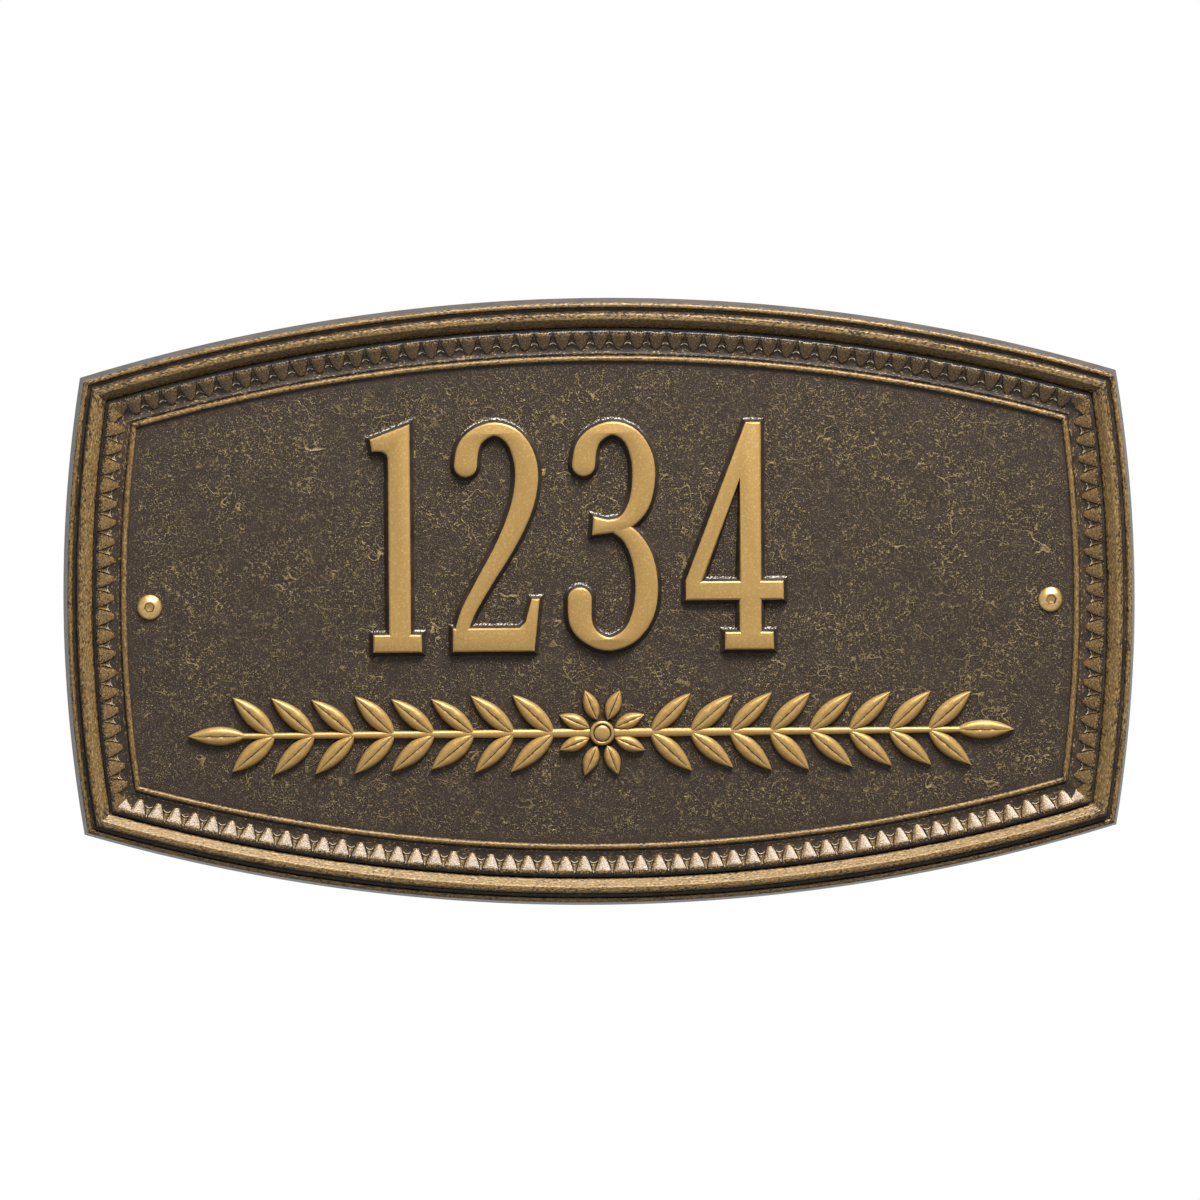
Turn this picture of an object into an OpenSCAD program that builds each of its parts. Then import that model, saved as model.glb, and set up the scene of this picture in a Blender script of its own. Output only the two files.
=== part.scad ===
// Address plaque: a cast panel with arched edges, a moulded border carved with leaves, raised
// numerals over a laurel spray, and the two dome-headed screws that hold it to a wall.
// It hangs on the plane Y = 0 and faces -Y, with the origin midway between its screws.

/* [Panel] */
// Overall width, across the bowed left and right edges
panel_w = 400; // [380:1:460]
// Overall height, across the arched top and bottom edges
panel_h = 227; // [215:1:260]
// Rise of the top and bottom edges above their corners
crown_rise = 28.3; // [16:0.1:34]
// Bow of the left and right edges past their corners
side_bow = 7; // [4:0.1:12]
// Height of the flat field above the wall
field_t = 5; // [4.2:0.1:8]

/* [Border] */
// Lean of the outer wall, from the wall plane up to the lip
wall_draft = 1.2; // [0.6:0.1:1.6]
// Radius of the rounded lip along the outer edge
lip_r = 1.15; // [0.9:0.05:1.3]
// Top of the lip above the field
lip_rise = 2.2; // [1.6:0.1:3]
// Distance of the large roll's centre from the outer edge
roll_x = 7.9; // [7.4:0.1:8.4]
// Radius of the large roll
roll_r = 3.1; // [2.6:0.05:3.4]
// Top of the large roll above the field
roll_rise = 4.5; // [3.8:0.1:5.5]
// Height of the grooves on both sides of the roll above the field
groove_rise = 0.7; // [0.3:0.1:1.2]
// Distance of the bead's centre from the outer edge
bead_x = 22.4; // [21.5:0.1:24]
// Radius of the bead that frames the field
bead_r = 1.1; // [0.7:0.05:1.4]
// Top of the bead above the field
bead_rise = 1.4; // [0.8:0.1:1.9]

/* [Leaves] */
// Distance of the leaves' root from the outer edge
leaf_root_x = 12.2; // [12:0.1:13]
// Length of a leaf, from its root in towards the field
leaf_l = 6.4; // [5:0.1:7]
// Width of a leaf at its root
leaf_root_w = 5.6; // [4:0.1:6]
// Width of a leaf at its tip
leaf_tip_w = 2.4; // [1.2:0.1:3.2]
// Root of a leaf above the field
leaf_rise = 3.2; // [2.4:0.1:4]
// Tip of a leaf above the field
leaf_tip_rise = 0.5; // [0.3:0.1:1]
// Fall from a leaf's ridge to its two edges
leaf_crown = 0.45; // [0.2:0.05:0.8]
// Nominal distance from leaf to leaf, fitted to a whole number along each edge
leaf_pitch = 6.9; // [6.2:0.1:9]
// Depth of the darts between the leaves below the leaves' ridge
dart_drop = 1.1; // [0.6:0.1:1.6]
// Lift of a dart's end over the slope of the leaves beside it
dart_scoop = 0.5; // [0:0.05:0.8]
// Distance by which the darts end short of the leaves' tips
dart_short = 1.6; // [0.6:0.1:2.4]
// Width of the cut that parts a leaf from the dart beside it
leaf_cut = 0.3; // [0.15:0.05:0.4]

/* [Back] */
// Width of the flat rim that meets the wall
rim_w = 12; // [8:0.5:18]
// Depth of the hollow inside the rim
hollow_d = 1.6; // [0.6:0.1:2.4]
// Diameter of the pad round each screw hole
pad_d = 17; // [12:0.5:24]

/* [Relief] */
// Height of the numerals and the laurel spray above the field
relief_h = 3.2; // [2:0.1:4.2]
// Spread of a relief wall, from its top edge out to its foot
relief_draft = 1.5; // [0.6:0.1:2]
// Height of a numeral
numeral_h = 84.8; // [60:0.1:95]
// Space between two numerals
numeral_gap = 11; // [7:0.5:16]
// Height of the numerals' middle above the screws
numeral_z = 25.1; // [18:0.1:32]
// Shift of the row of numerals to the side, right being positive
numeral_x = -8.9; // [-20:0.1:20]
// Height of the laurel spray's stem below the screws
spray_z = -48.4; // [-54:0.1:-44]
// Distance of each stem's outer end from the left or right edge
stem_inset = 64; // [55:1:90]
// Width of the stems
stem_w = 2.6; // [1.6:0.1:4]
// Number of leaf pairs on each stem
leaf_pairs = 8; // [4:1:9]
// Length of a laurel leaf
laurel_l = 19.5; // [12:0.5:22]
// Width of a laurel leaf
laurel_w = 6.2; // [4:0.1:8]
// Angle between a laurel leaf and its stem
laurel_a = 42; // [25:1:60]
// Radius of the rosette's round heart
heart_r = 4.2; // [3:0.1:6]
// Number of petals round the heart
petals = 8; // [5:1:10]
// Gap between the heart and the petals at the top of the relief
petal_gap = 1.6; // [1:0.1:3]
// Length of a petal
petal_l = 11.5; // [8:0.5:14]
// Width of a petal
petal_w = 5; // [3:0.1:6]

/* [Screws] */
// Distance of each screw from the left or right edge
screw_inset = 32; // [28:1:40]
// Diameter of the screw's threaded shank, behind the panel
shank_d = 4.8; // [4.3:0.1:6]
// Diameter of the screw's plain neck, inside the panel
neck_d = 4.1; // [3:0.1:4.2]
// Length of the screw below its head
screw_l = 32; // [25:1:50]
// Length of the screw's point
point_l = 6; // [4:0.5:9]
// Diameter of the domed head
head_d = 9.4; // [8:0.1:12]
// Height of the domed head
head_h = 2.8; // [2:0.1:4]
// Size of the hexagon socket, across its flats
socket_w = 3.4; // [2.5:0.1:4]
// Depth of the hexagon socket
socket_d = 1.7; // [1:0.1:2]
// Extra diameter of the screw hole over the shank
hole_clear = 0.4; // [0.2:0.05:1]

/* [Hidden] */
$fn = 96;

// Depth by which a raised form is sunk into what carries it
sink = 0.5;
// Step in from a relief's top edge to where its sloping wall meets the upright core
tuck = 0.1;
// Distance from a relief's top edge in to the foot of its sloping wall, inside the core
wall_core = 0.6;
// Height on which the numerals below are drawn
drawn_h = 85;
// Depth and width of the fine line scribed along each mitre of the border
scribe_d = 0.15;
scribe_w = 0.3;
// Width of the bed under that line, which reaches into both edges
scribe_bed_w = 1.2;
// Reach of a wedge to both sides of the outline's corner, in lengths of the mitre
wedge_reach = 1.2;
// Angle by which an edge of the border is swept past its corners before the mitres cut it
sweep_over = 1;
// Length by which a cutting form runs past what it cuts
over = 1;
// Least 1 + cosine at a corner, which keeps a sharp corner's offset short
corner_limit = 0.35;
// Place of the first leaf pair past the rosette, as a share of the step from pair to pair
pair_lead = 0.1;
// Radius of the blunt end of a screw's point
point_r = 0.3;
// Steps round the lip, the large roll, the bead, a flag's curve and between a stroke's keys
lip_steps = 7;
roll_steps = 12;
bead_steps = 6;
flag_steps = 4;
key_steps = 3;

corner_x = panel_w / 2 - side_bow;
corner_y = panel_h / 2 - crown_rise;
crown_r = arc_radius(corner_x, crown_rise);
side_r = arc_radius(corner_y, side_bow);
border_w = bead_x + bead_r + sink;
lip_x = wall_draft + lip_r;
leaf_end_x = leaf_root_x + leaf_l;
relief_top = field_t + relief_h;
screw_gap = panel_w - 2 * screw_inset;
stem_end_x = panel_w / 2 - stem_inset;
hole_d = shank_d + hole_clear;

// Radius of the arc whose half chord and rise are given
function arc_radius(half_chord, rise) = (half_chord ^ 2 + rise ^ 2) / (2 * rise);

function unit(v) = v / norm(v);

// Upper right corner of the panel's outline when all its edges have moved in by s
function corner_at(s) =
    let (crown_c = [0, panel_h / 2 - crown_r])
    let (side_c = [panel_w / 2 - side_r, 0])
    let (span = norm(side_c - crown_c), u = (side_c - crown_c) / span)
    let (along = ((crown_r - s) ^ 2 - (side_r - s) ^ 2 + span ^ 2) / (2 * span))
    let (across = sqrt((crown_r - s) ^ 2 - along ^ 2))
    crown_c + along * u + across * [u.y, -u.x];

// Points on an arc, both ends included
function arc_points(centre, r, from, to, steps) =
    [for (i = [0 : steps]) let (a = from + (to - from) * i / steps) centre + r * [cos(a), sin(a)]];

// Closed outline moved out by d, or in where d is negative
function offset_loop(loop, d) =
    let (n = len(loop))
    [for (i = [0 : n - 1])
        let (u = unit(loop[i] - loop[(i + n - 1) % n]), v = unit(loop[(i + 1) % n] - loop[i]))
        loop[i] + d * [u.y + v.y, -u.x - v.x] / max(1 + u * v, corner_limit)];

// Smooth curve through the keys, with the given number of steps between two keys
function smooth(keys, steps) =
    let (last = len(keys) - 1)
    concat([for (i = [0 : last - 1], j = [0 : steps - 1])
        let (a = keys[max(i - 1, 0)], b = keys[i], c = keys[i + 1], d = keys[min(i + 2, last)])
        let (t = j / steps)
        b + (c - a) * t / 2 + (2 * a - 5 * b + 4 * c - d) * t ^ 2 / 2
            + (3 * b - a - 3 * c + d) * t ^ 3 / 2], [keys[last]]);

// Direction of a curve at its point i
function heading(path, i) =
    let (a = path[max(i - 1, 0)], b = path[min(i + 1, len(path) - 1)])
    unit([b.x - a.x, b.y - a.y]);

// One long side of a pen stroke whose path holds [x, y, width], on the right where side is 1
function stroke_side(path, side) =
    [for (i = [0 : len(path) - 1]) let (u = heading(path, i))
        [path[i].x, path[i].y] + side * path[i].z / 2 * [u.y, -u.x]];

// Round start of a stroke at its point p, which looks along the angle given
function round_start(p, angle) =
    [for (a = [-60 : 30 : 60]) [p.x, p.y] + p.z / 2 * [cos(angle + a), sin(angle + a)]];

// Closed outline of a pen stroke through the keys, with a round start
function stroke(keys) =
    let (path = smooth(keys, key_steps), left = stroke_side(path, -1), start = heading(path, 0))
    concat(round_start(path[0], atan2(-start.y, -start.x)), stroke_side(path, 1),
        [for (i = [len(path) - 1 : -1 : 0]) left[i]]);

// Closed ring through a row of loops that have the same number of points
module ring(loops) {
    n = len(loops[0]);
    m = len(loops);
    polyhedron(points = [for (loop = loops) each loop], faces = [
        for (i = [0 : m - 1], j = [0 : n - 1])
            let (a = i * n + j, b = i * n + (j + 1) % n)
            let (c = (i + 1) % m * n + (j + 1) % n, d = (i + 1) % m * n + j)
            each [[a, c, b], [a, d, c]]]);
}

// Outline of the panel when all its edges have moved in by s
module panel_outline(s) {
    intersection() {
        translate([0, panel_h / 2 - crown_r]) circle(crown_r - s);
        translate([0, crown_r - panel_h / 2]) circle(crown_r - s);
        translate([panel_w / 2 - side_r, 0]) circle(side_r - s);
        translate([side_r - panel_w / 2, 0]) circle(side_r - s);
    }
}

// Section of the border: X runs in from the outer edge and Y up from the wall
function border_section() =
    let (lip_y = field_t + lip_rise - lip_r, roll_y = field_t + roll_rise - roll_r)
    let (bead_y = field_t + bead_rise - bead_r, groove_y = field_t + groove_rise)
    concat([[0, 0]],
        arc_points([lip_x, lip_y], lip_r, 180, asin((groove_y - lip_y) / lip_r), lip_steps),
        arc_points([roll_x, roll_y], roll_r, 180 - asin((groove_y - roll_y) / roll_r),
            asin((groove_y - roll_y) / roll_r), roll_steps),
        [[leaf_root_x + sink, groove_y], [leaf_root_x + sink, field_t]],
        arc_points([bead_x, bead_y], bead_r, 180 - asin((field_t - bead_y) / bead_r),
            asin((field_t - bead_y) / bead_r), bead_steps),
        [[border_w, field_t], [border_w, 0]]);

// Point at the distance s in from an edge and at an angle along it, edges 0 to 3 being the
// top, right, bottom and left ones
function on_edge(edge, s, angle) =
    let (upright = edge % 2 == 0, way = edge < 2 ? 1 : -1)
    let (r = upright ? crown_r : side_r)
    (upright ? [0, way * (panel_h / 2 - crown_r)] : [way * (panel_w / 2 - side_r), 0])
        + (r - s) * [sin(angle + 90 * edge), cos(angle + 90 * edge)];

// Section of the carved band between the points tip and root, with its surface drop below
// the leaves' ridge
function band_section(tip, root, tip_rise, drop) =
    [[tip.x, tip.y, field_t - sink], [tip.x, tip.y, field_t + tip_rise - drop],
        [root.x, root.y, field_t + leaf_rise - drop], [root.x, root.y, field_t - sink]];

// Section of the band beside a leaf of one edge: aside is -1 to 1 from its left side to its right
function leaf_section(edge, angle, aside, cut, drop, short) =
    let (r = (edge % 2 == 0 ? crown_r : side_r) - leaf_root_x, l = leaf_l - short)
    let (tip_half = leaf_tip_w / 2 + cut, root_half = leaf_root_w / 2 + cut)
    band_section(
        on_edge(edge, leaf_root_x + l, angle + aside * tip_half / (r - l) * 180 / PI),
        on_edge(edge, leaf_root_x, angle + aside * root_half / r * 180 / PI),
        leaf_tip_rise + (leaf_rise - leaf_tip_rise) * short / leaf_l + (short > 0 ? dart_scoop : 0),
        drop);

// Section of the band on the mitre that ends one edge
function mitre_section(edge) =
    let (turn = [edge < 2 ? 1 : -1, edge % 3 == 0 ? 1 : -1])
    let (tip = corner_at(leaf_end_x - dart_short), root = corner_at(leaf_root_x))
    band_section([turn.x * tip.x, turn.y * tip.y], [turn.x * root.x, turn.y * root.y],
        leaf_tip_rise + (leaf_rise - leaf_tip_rise) * dart_short / leaf_l + dart_scoop, dart_drop);

// Sections of the band along one edge: leaves side by side, darts between them, and the mitre
function edge_sections(edge) =
    let (r = (edge % 2 == 0 ? crown_r : side_r) - leaf_end_x, tip = corner_at(leaf_end_x))
    let (half = asin(((edge % 2 == 0 ? tip.x : tip.y) - leaf_tip_w / 2) / r))
    let (count = floor(2 * half * PI / 180 * r / leaf_pitch))
    concat([for (i = [0 : count - 1]) let (angle = (2 * (i + 0.5) / count - 1) * half)
        each [
            leaf_section(edge, angle, -1, leaf_cut, dart_drop, dart_short),
            leaf_section(edge, angle, -1, 0, leaf_crown, 0),
            leaf_section(edge, angle, 0, 0, 0, 0),
            leaf_section(edge, angle, 1, 0, leaf_crown, 0),
            leaf_section(edge, angle, 1, leaf_cut, dart_drop, dart_short)]],
        [mitre_section(edge)]);

// The band of carved leaves, all the way round
module leaf_band() {
    sections = [for (edge = [0 : 3]) each edge_sections(edge)];
    color("#8c7347")
        ring([for (k = [0 : 3]) [for (section = sections) section[k]]]);
}

// Wedge of the panel between the mitres of its upper edge, which the scribed lines narrow
module upper_wedge() {
    out = corner_at(0);
    slope = out - corner_at(border_w);
    aside = scribe_w / 2 * [-slope.y, slope.x] / norm(slope);
    far = out + wedge_reach * slope + aside;
    near = out - wedge_reach * slope + aside;
    linear_extrude(height = panel_h, center = true)
        polygon([near, far, [far.x, panel_h], [-far.x, panel_h], [-far.x, far.y], [-near.x, near.y]]);
}

// Wedge of the panel between the mitres of its right edge
module right_wedge() {
    out = corner_at(0);
    slope = out - corner_at(border_w);
    aside = scribe_w / 2 * [slope.y, -slope.x] / norm(slope);
    far = out + wedge_reach * slope + aside;
    near = out - wedge_reach * slope + aside;
    linear_extrude(height = panel_h, center = true)
        polygon([near, [near.x, -near.y], [far.x, -far.y], [panel_w, -far.y], [panel_w, far.y], far]);
}

// Bed of the line scribed along the upper right mitre, with the border's section a little lower
module mitre_core() {
    out = corner_at(0);
    slope = out - corner_at(border_w);
    translate([out.x, out.y, 0])
        rotate([90, 0, atan2(-slope.y, -slope.x)])
            linear_extrude(height = scribe_bed_w, center = true)
                polygon([for (p = offset_loop(border_section(), scribe_d))
                    [norm(corner_at(p.x) - out), p.y]]);
}

// Moulded border: the section swept along the four arcs and mitred at the corners
module border() {
    color("#6b5b3f")
        for (turn = [0, 180])
            rotate([0, 0, turn]) {
                intersection() {
                    translate([0, panel_h / 2 - crown_r, 0])
                        border_edge(crown_r, 90, asin(corner_x / crown_r) + sweep_over);
                    upper_wedge();
                }
                intersection() {
                    translate([panel_w / 2 - side_r, 0, 0])
                        border_edge(side_r, 0, asin(corner_y / side_r) + sweep_over);
                    right_wedge();
                }
                mitre_core();
                mirror([1, 0, 0]) mitre_core();
            }
}

// Border section swept along an arc of radius r, to the given angle on both sides of its middle
module border_edge(r, middle, half_angle) {
    rotate([0, 0, middle - half_angle])
        rotate_extrude(angle = 2 * half_angle)
            translate([r, 0]) mirror([1, 0]) polygon(border_section());
}

// Plate inside the border, which runs in under its large roll
module field() {
    color("#4a433c") linear_extrude(height = field_t) panel_outline(roll_x);
}

// Hollow of the back inside the rim, less the pad round each screw hole
module back_hollow() {
    translate([0, 0, -sink]) difference() {
        linear_extrude(height = hollow_d + sink) panel_outline(rim_w);
        at_screws() cylinder(d = pad_d, h = hollow_d + sink);
    }
}

module at_screws() {
    for (side = [-1, 1])
        translate([side * screw_gap / 2, 0, 0]) children();
}

// Sloping wall round one outline of a raised form
module relief_wall(loop) {
    ring([[for (p = offset_loop(loop, relief_draft)) [p.x, p.y, field_t - tuck]],
        [for (p = offset_loop(loop, -tuck)) [p.x, p.y, relief_top - tuck]],
        [for (p = offset_loop(loop, -wall_core)) [p.x, p.y, field_t - tuck]]]);
}

// Raised form with an upright core inside its sloping walls
module relief(loop, hole = []) {
    translate([0, 0, field_t - sink])
        linear_extrude(height = relief_h + sink)
            difference() {
                polygon(loop);
                if (len(hole) > 0) polygon(hole);
            }
    relief_wall(loop);
    if (len(hole) > 0) relief_wall(hole);
}

function drawn(loop) = loop * numeral_h / drawn_h;

// Each numeral stands on the line Y = 0 and starts at X = 0
module numeral_1() {
    relief(drawn(concat([[0.8, 0], [18.2, 0], [18.2, 6], [14.2, 6], [14.2, 84.4], [0, 79], [0.7, 75]],
        arc_points([3.2, 71.5], 3.5, 90, 0, flag_steps), [[6.7, 6], [0.8, 6]])));
}

module numeral_2() {
    relief(drawn(stroke([[6, 69.2, 7.9], [7, 75.4, 7.4], [10.4, 80.2, 5.6], [17, 82.8, 4.4],
        [23.8, 79.6, 5.9], [28, 71.8, 7.6], [28.6, 62, 7.9], [26, 51, 7.4], [20, 38, 6.2],
        [12.6, 25.4, 5.2], [6.4, 14, 4.6], [3.4, 4.4, 4.2]])));
    relief(drawn([[1.2, 0], [31, 0], [33, 19], [30.6, 19], [28.4, 10.6], [26, 8.2], [1.2, 8.2]]));
}

module numeral_3() {
    relief(drawn(stroke([[6, 69.2, 7.9], [7, 75.4, 7.4], [10.4, 80.2, 5.6], [17, 82.8, 4.4],
        [23.8, 79.6, 5.9], [27.8, 71.8, 7.6], [28.3, 62.6, 7.8], [26.4, 54, 7], [21.6, 47.8, 5.2],
        [15.6, 46.2, 4.4], [9.6, 46.4, 6.4]])));
    relief(drawn(stroke([[4.3, 19, 8.3], [4.7, 10.4, 7.8], [8.6, 4.8, 5.6], [15.4, 2.2, 4.4],
        [23.2, 5.6, 5.6], [28, 13.6, 7.4], [29.3, 24, 7.8], [27.6, 34.6, 7.2], [23.2, 42.4, 5.6],
        [17.2, 46.4, 4.2]])));
}

module numeral_4() {
    relief(drawn([[14.6, 0], [32.2, 0], [32.2, 6], [27.6, 6], [27.6, 18.6], [36, 18.6], [36, 25],
        [27.6, 25], [27.6, 84.4], [22.4, 84.4], [0, 25.6], [0, 18.6], [20.1, 18.6], [20.1, 6],
        [14.6, 6]]), drawn([[20.1, 25], [5.4, 25], [20.1, 64]]));
}

// Row of numerals, set by its middle
module numerals() {
    widths = [18.2, 33, 33.2, 36] * numeral_h / drawn_h;
    function width_to(i) = i == 0 ? 0 : width_to(i - 1) + widths[i - 1] + numeral_gap;
    row_w = width_to(3) + widths[3];
    color("#b8924f") translate([numeral_x - row_w / 2, numeral_z - numeral_h / 2, 0]) {
        numeral_1();
        translate([width_to(1), 0, 0]) numeral_2();
        translate([width_to(2), 0, 0]) numeral_3();
        translate([width_to(3), 0, 0]) numeral_4();
    }
}

// Raised pointed leaf from the origin along +X
module laurel_leaf(l, w) {
    r = arc_radius(l / 2, w / 2);
    h = relief_h + sink;
    translate([l / 2, 0, field_t - sink])
        intersection_for (side = [-1, 1])
            translate([0, side * (r - w / 2), 0])
                cylinder(r1 = r + relief_draft / relief_h * h, r2 = r, h = h);
}

// Raised stem along +X from the rosette to the last leaf, lower than the leaves
module stem() {
    foot = stem_w / 2 + relief_draft;
    top = relief_top - sink;
    translate([heart_r / 2, 0, 0])
        rotate([90, 0, 90])
            linear_extrude(height = stem_end_x - heart_r / 2)
                polygon([[-foot, field_t], [-foot, field_t - sink], [foot, field_t - sink], [foot, field_t],
                    [stem_w / 2, top], [-stem_w / 2, top]]);
}

// Round heart with a ring of petals
module rosette() {
    for (i = [0 : petals - 1])
        rotate([0, 0, (i + 0.5) * 360 / petals])
            translate([heart_r + petal_gap, 0, 0]) laurel_leaf(petal_l, petal_w);
    translate([0, 0, field_t - sink])
        cylinder(r1 = heart_r + relief_draft, r2 = heart_r, h = relief_h + sink);
}

// Two stems with pairs of leaves, one on each side of the rosette
module laurel_spray() {
    reach = heart_r + petal_gap + petal_l;
    step = (stem_end_x - reach) / leaf_pairs;
    color("#b8924f") translate([0, spray_z, 0]) {
        rosette();
        for (turn = [0, 180])
            rotate([0, 0, turn]) {
                stem();
                // Each leaf springs from half way between the stem's middle and its side
                for (i = [1 : leaf_pairs], side = [-1, 1])
                    translate([reach + (i - 1 + pair_lead) * step, side * stem_w / 4, 0])
                        rotate([0, 0, side * laurel_a]) laurel_leaf(laurel_l, laurel_w);
                translate([stem_end_x - stem_w, 0, 0]) laurel_leaf(laurel_l, laurel_w);
            }
    }
}

// Screw that stands on the wall plane, with its domed head on the field
module screw() {
    dome_r = arc_radius(head_d / 2, head_h);
    difference() {
        intersection() {
            translate([0, 0, field_t + head_h - dome_r]) sphere(dome_r);
            translate([0, 0, field_t]) cylinder(d = head_d + over, h = head_h + over);
        }
        translate([0, 0, field_t + head_h - socket_d])
            cylinder(d = socket_w / cos(30), h = socket_d + over, $fn = 6);
    }
    cylinder(d = neck_d, h = field_t);
    translate([0, 0, field_t - screw_l + point_l]) cylinder(d = shank_d, h = screw_l - field_t - point_l);
    translate([0, 0, field_t - screw_l]) cylinder(r1 = point_r, r2 = shank_d / 2, h = point_l);
}

module plaque() {
    rotate([90, 0, 0]) {
        difference() {
            union() {
                field();
                border();
            }
            back_hollow();
            at_screws() translate([0, 0, -sink]) cylinder(d = hole_d, h = field_t + 2 * sink);
        }
        leaf_band();
        numerals();
        laurel_spray();
    }
}

module wall_screws() {
    color("#d8b76a") rotate([90, 0, 0]) at_screws() screw();
}

plaque();
wall_screws();
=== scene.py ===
"""Looks of the address plaque: cast panel, carved border, numerals, laurel spray, wall screws."""

import logging
import math
from collections.abc import Callable, Sequence
from dataclasses import dataclass
from enum import Enum
from functools import partial
from typing import NamedTuple

import bmesh
import bpy
from mathutils import Euler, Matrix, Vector
from mathutils.geometry import tessellate_polygon


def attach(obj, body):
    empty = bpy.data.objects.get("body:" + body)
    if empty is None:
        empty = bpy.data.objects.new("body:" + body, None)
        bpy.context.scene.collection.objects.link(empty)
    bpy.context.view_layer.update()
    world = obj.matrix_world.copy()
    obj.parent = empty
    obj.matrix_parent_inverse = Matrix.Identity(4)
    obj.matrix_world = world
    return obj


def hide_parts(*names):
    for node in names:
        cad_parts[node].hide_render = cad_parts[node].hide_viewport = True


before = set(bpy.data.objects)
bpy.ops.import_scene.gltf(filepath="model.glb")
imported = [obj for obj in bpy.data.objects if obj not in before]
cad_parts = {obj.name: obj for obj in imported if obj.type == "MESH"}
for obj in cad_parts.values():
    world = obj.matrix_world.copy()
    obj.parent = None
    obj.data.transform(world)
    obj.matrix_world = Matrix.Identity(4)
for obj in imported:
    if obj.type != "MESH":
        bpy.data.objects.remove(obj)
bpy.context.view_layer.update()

LOG = logging.getLogger("plaque")
MM = 0.001
BODY = "root"

Point = tuple[float, float]
Loop = list[Point]
Spot = tuple[float, float, float]
Surface = Callable[[float, float], tuple[float, float, float, float]]
Tree = bpy.types.NodeTree
Node = bpy.types.Node
Socket = bpy.types.NodeSocket
Piece = bpy.types.Object
Material = bpy.types.Material


def linear_rgb(code: str) -> tuple[float, float, float, float]:
    """Turn an sRGB hex value into a linear colour.

    Args:
        code: Six hex digits, with or without a leading #.

    Returns:
        Red, green, blue and alpha, linear.
    """
    parts = [int(code.lstrip("#")[i : i + 2], 16) / 255 for i in (0, 2, 4)]
    low, knee = 12.92, 0.04045
    red, green, blue = (c / low if c <= knee else ((c + 0.055) / 1.055) ** 2.4 for c in parts)
    return red, green, blue, 1.0


def add_node(tree: Tree, kind: str, inputs: dict | None = None, **settings: object) -> Node:
    """Add one node to a shader or geometry tree.

    Args:
        tree: The tree that gets the node.
        kind: The node's type name.
        inputs: Socket name or number to a value, to an output, or to a node for its first output.
        **settings: Attributes of the node.

    Returns:
        The new node.
    """
    node = tree.nodes.new(kind)
    for name, value in settings.items():
        setattr(node, name, value)
    for key, value in (inputs or {}).items():
        source = value.outputs[0] if isinstance(value, Node) else value
        if isinstance(source, Socket):
            tree.links.new(source, node.inputs[key])
        else:
            node.inputs[key].default_value = source
    return node


def start_tree(owner: Material | bpy.types.World) -> Tree:
    """Give a material or the world an empty tree of nodes.

    Args:
        owner: The material or the world.

    Returns:
        Its tree.
    """
    owner.use_nodes = True
    owner.node_tree.nodes.clear()
    return owner.node_tree


def place(x: float, z: float, rise: float) -> Spot:
    """Give the place in metres of a point at x and z, rise above the wall, all in mm."""
    return x * MM, -rise * MM, z * MM


def make_piece(
    name: str,
    spots: Sequence[Spot],
    faces: Sequence[Sequence[int]],
    marks: dict[str, Sequence[float]] | None = None,
    sharp: float = 40.0,
) -> Piece:
    """Make a smooth-shaded mesh piece, with its normals pointing outwards.

    Args:
        name: Name of the piece.
        spots: Places of its points, in metres.
        faces: Point numbers of each face.
        marks: Name to one number for each point, kept as attributes that the finishes read.
        sharp: Angle in degrees over which an edge stays sharp.

    Returns:
        The new object.
    """
    mesh = bpy.data.meshes.new(name)
    mesh.from_pydata([Vector(s) for s in spots], [], [list(f) for f in faces])
    for mark, values in (marks or {}).items():
        layer = mesh.attributes.new(mark, "FLOAT", "POINT")
        layer.data.foreach_set("value", list(values))
    mesh.validate()
    work = bmesh.new()
    work.from_mesh(mesh)
    bmesh.ops.recalc_face_normals(work, faces=work.faces)
    work.to_mesh(mesh)
    work.free()
    mesh.shade_smooth()
    mesh.set_sharp_from_angle(angle=math.radians(sharp))
    piece = bpy.data.objects.new(name, mesh)
    bpy.context.scene.collection.objects.link(piece)
    return piece


# ---------------------------------------------------------------- finishes


@dataclass(frozen=True)
class Finish:
    """What the finishes share: a name, object coordinates in millimetres, one bumped surface.

    Attributes:
        name: Name of the material: what the real one is.
    """

    name: str

    def begin(self) -> tuple[Material, Node]:
        """Start the material.

        Returns:
            The material, and the node that gives its object coordinates in millimetres.
        """
        material = bpy.data.materials.new(self.name)
        tree = start_tree(material)
        coords = add_node(tree, "ShaderNodeTexCoord").outputs["Object"]
        scaled = {0: coords, "Scale": 1 / MM}
        return material, add_node(tree, "ShaderNodeVectorMath", scaled, operation="SCALE")

    def end(self, tree: Tree, bump: dict[str, object], values: dict[str, object]) -> None:
        """Close the material with one surface.

        Args:
            tree: The material's tree.
            bump: Height, strength and distance of the bump.
            values: The other inputs of the surface.
        """
        normal = add_node(tree, "ShaderNodeBump", bump)
        surface = add_node(tree, "ShaderNodeBsdfPrincipled", values | {"Normal": normal})
        add_node(tree, "ShaderNodeOutputMaterial", {"Surface": surface})


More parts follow.
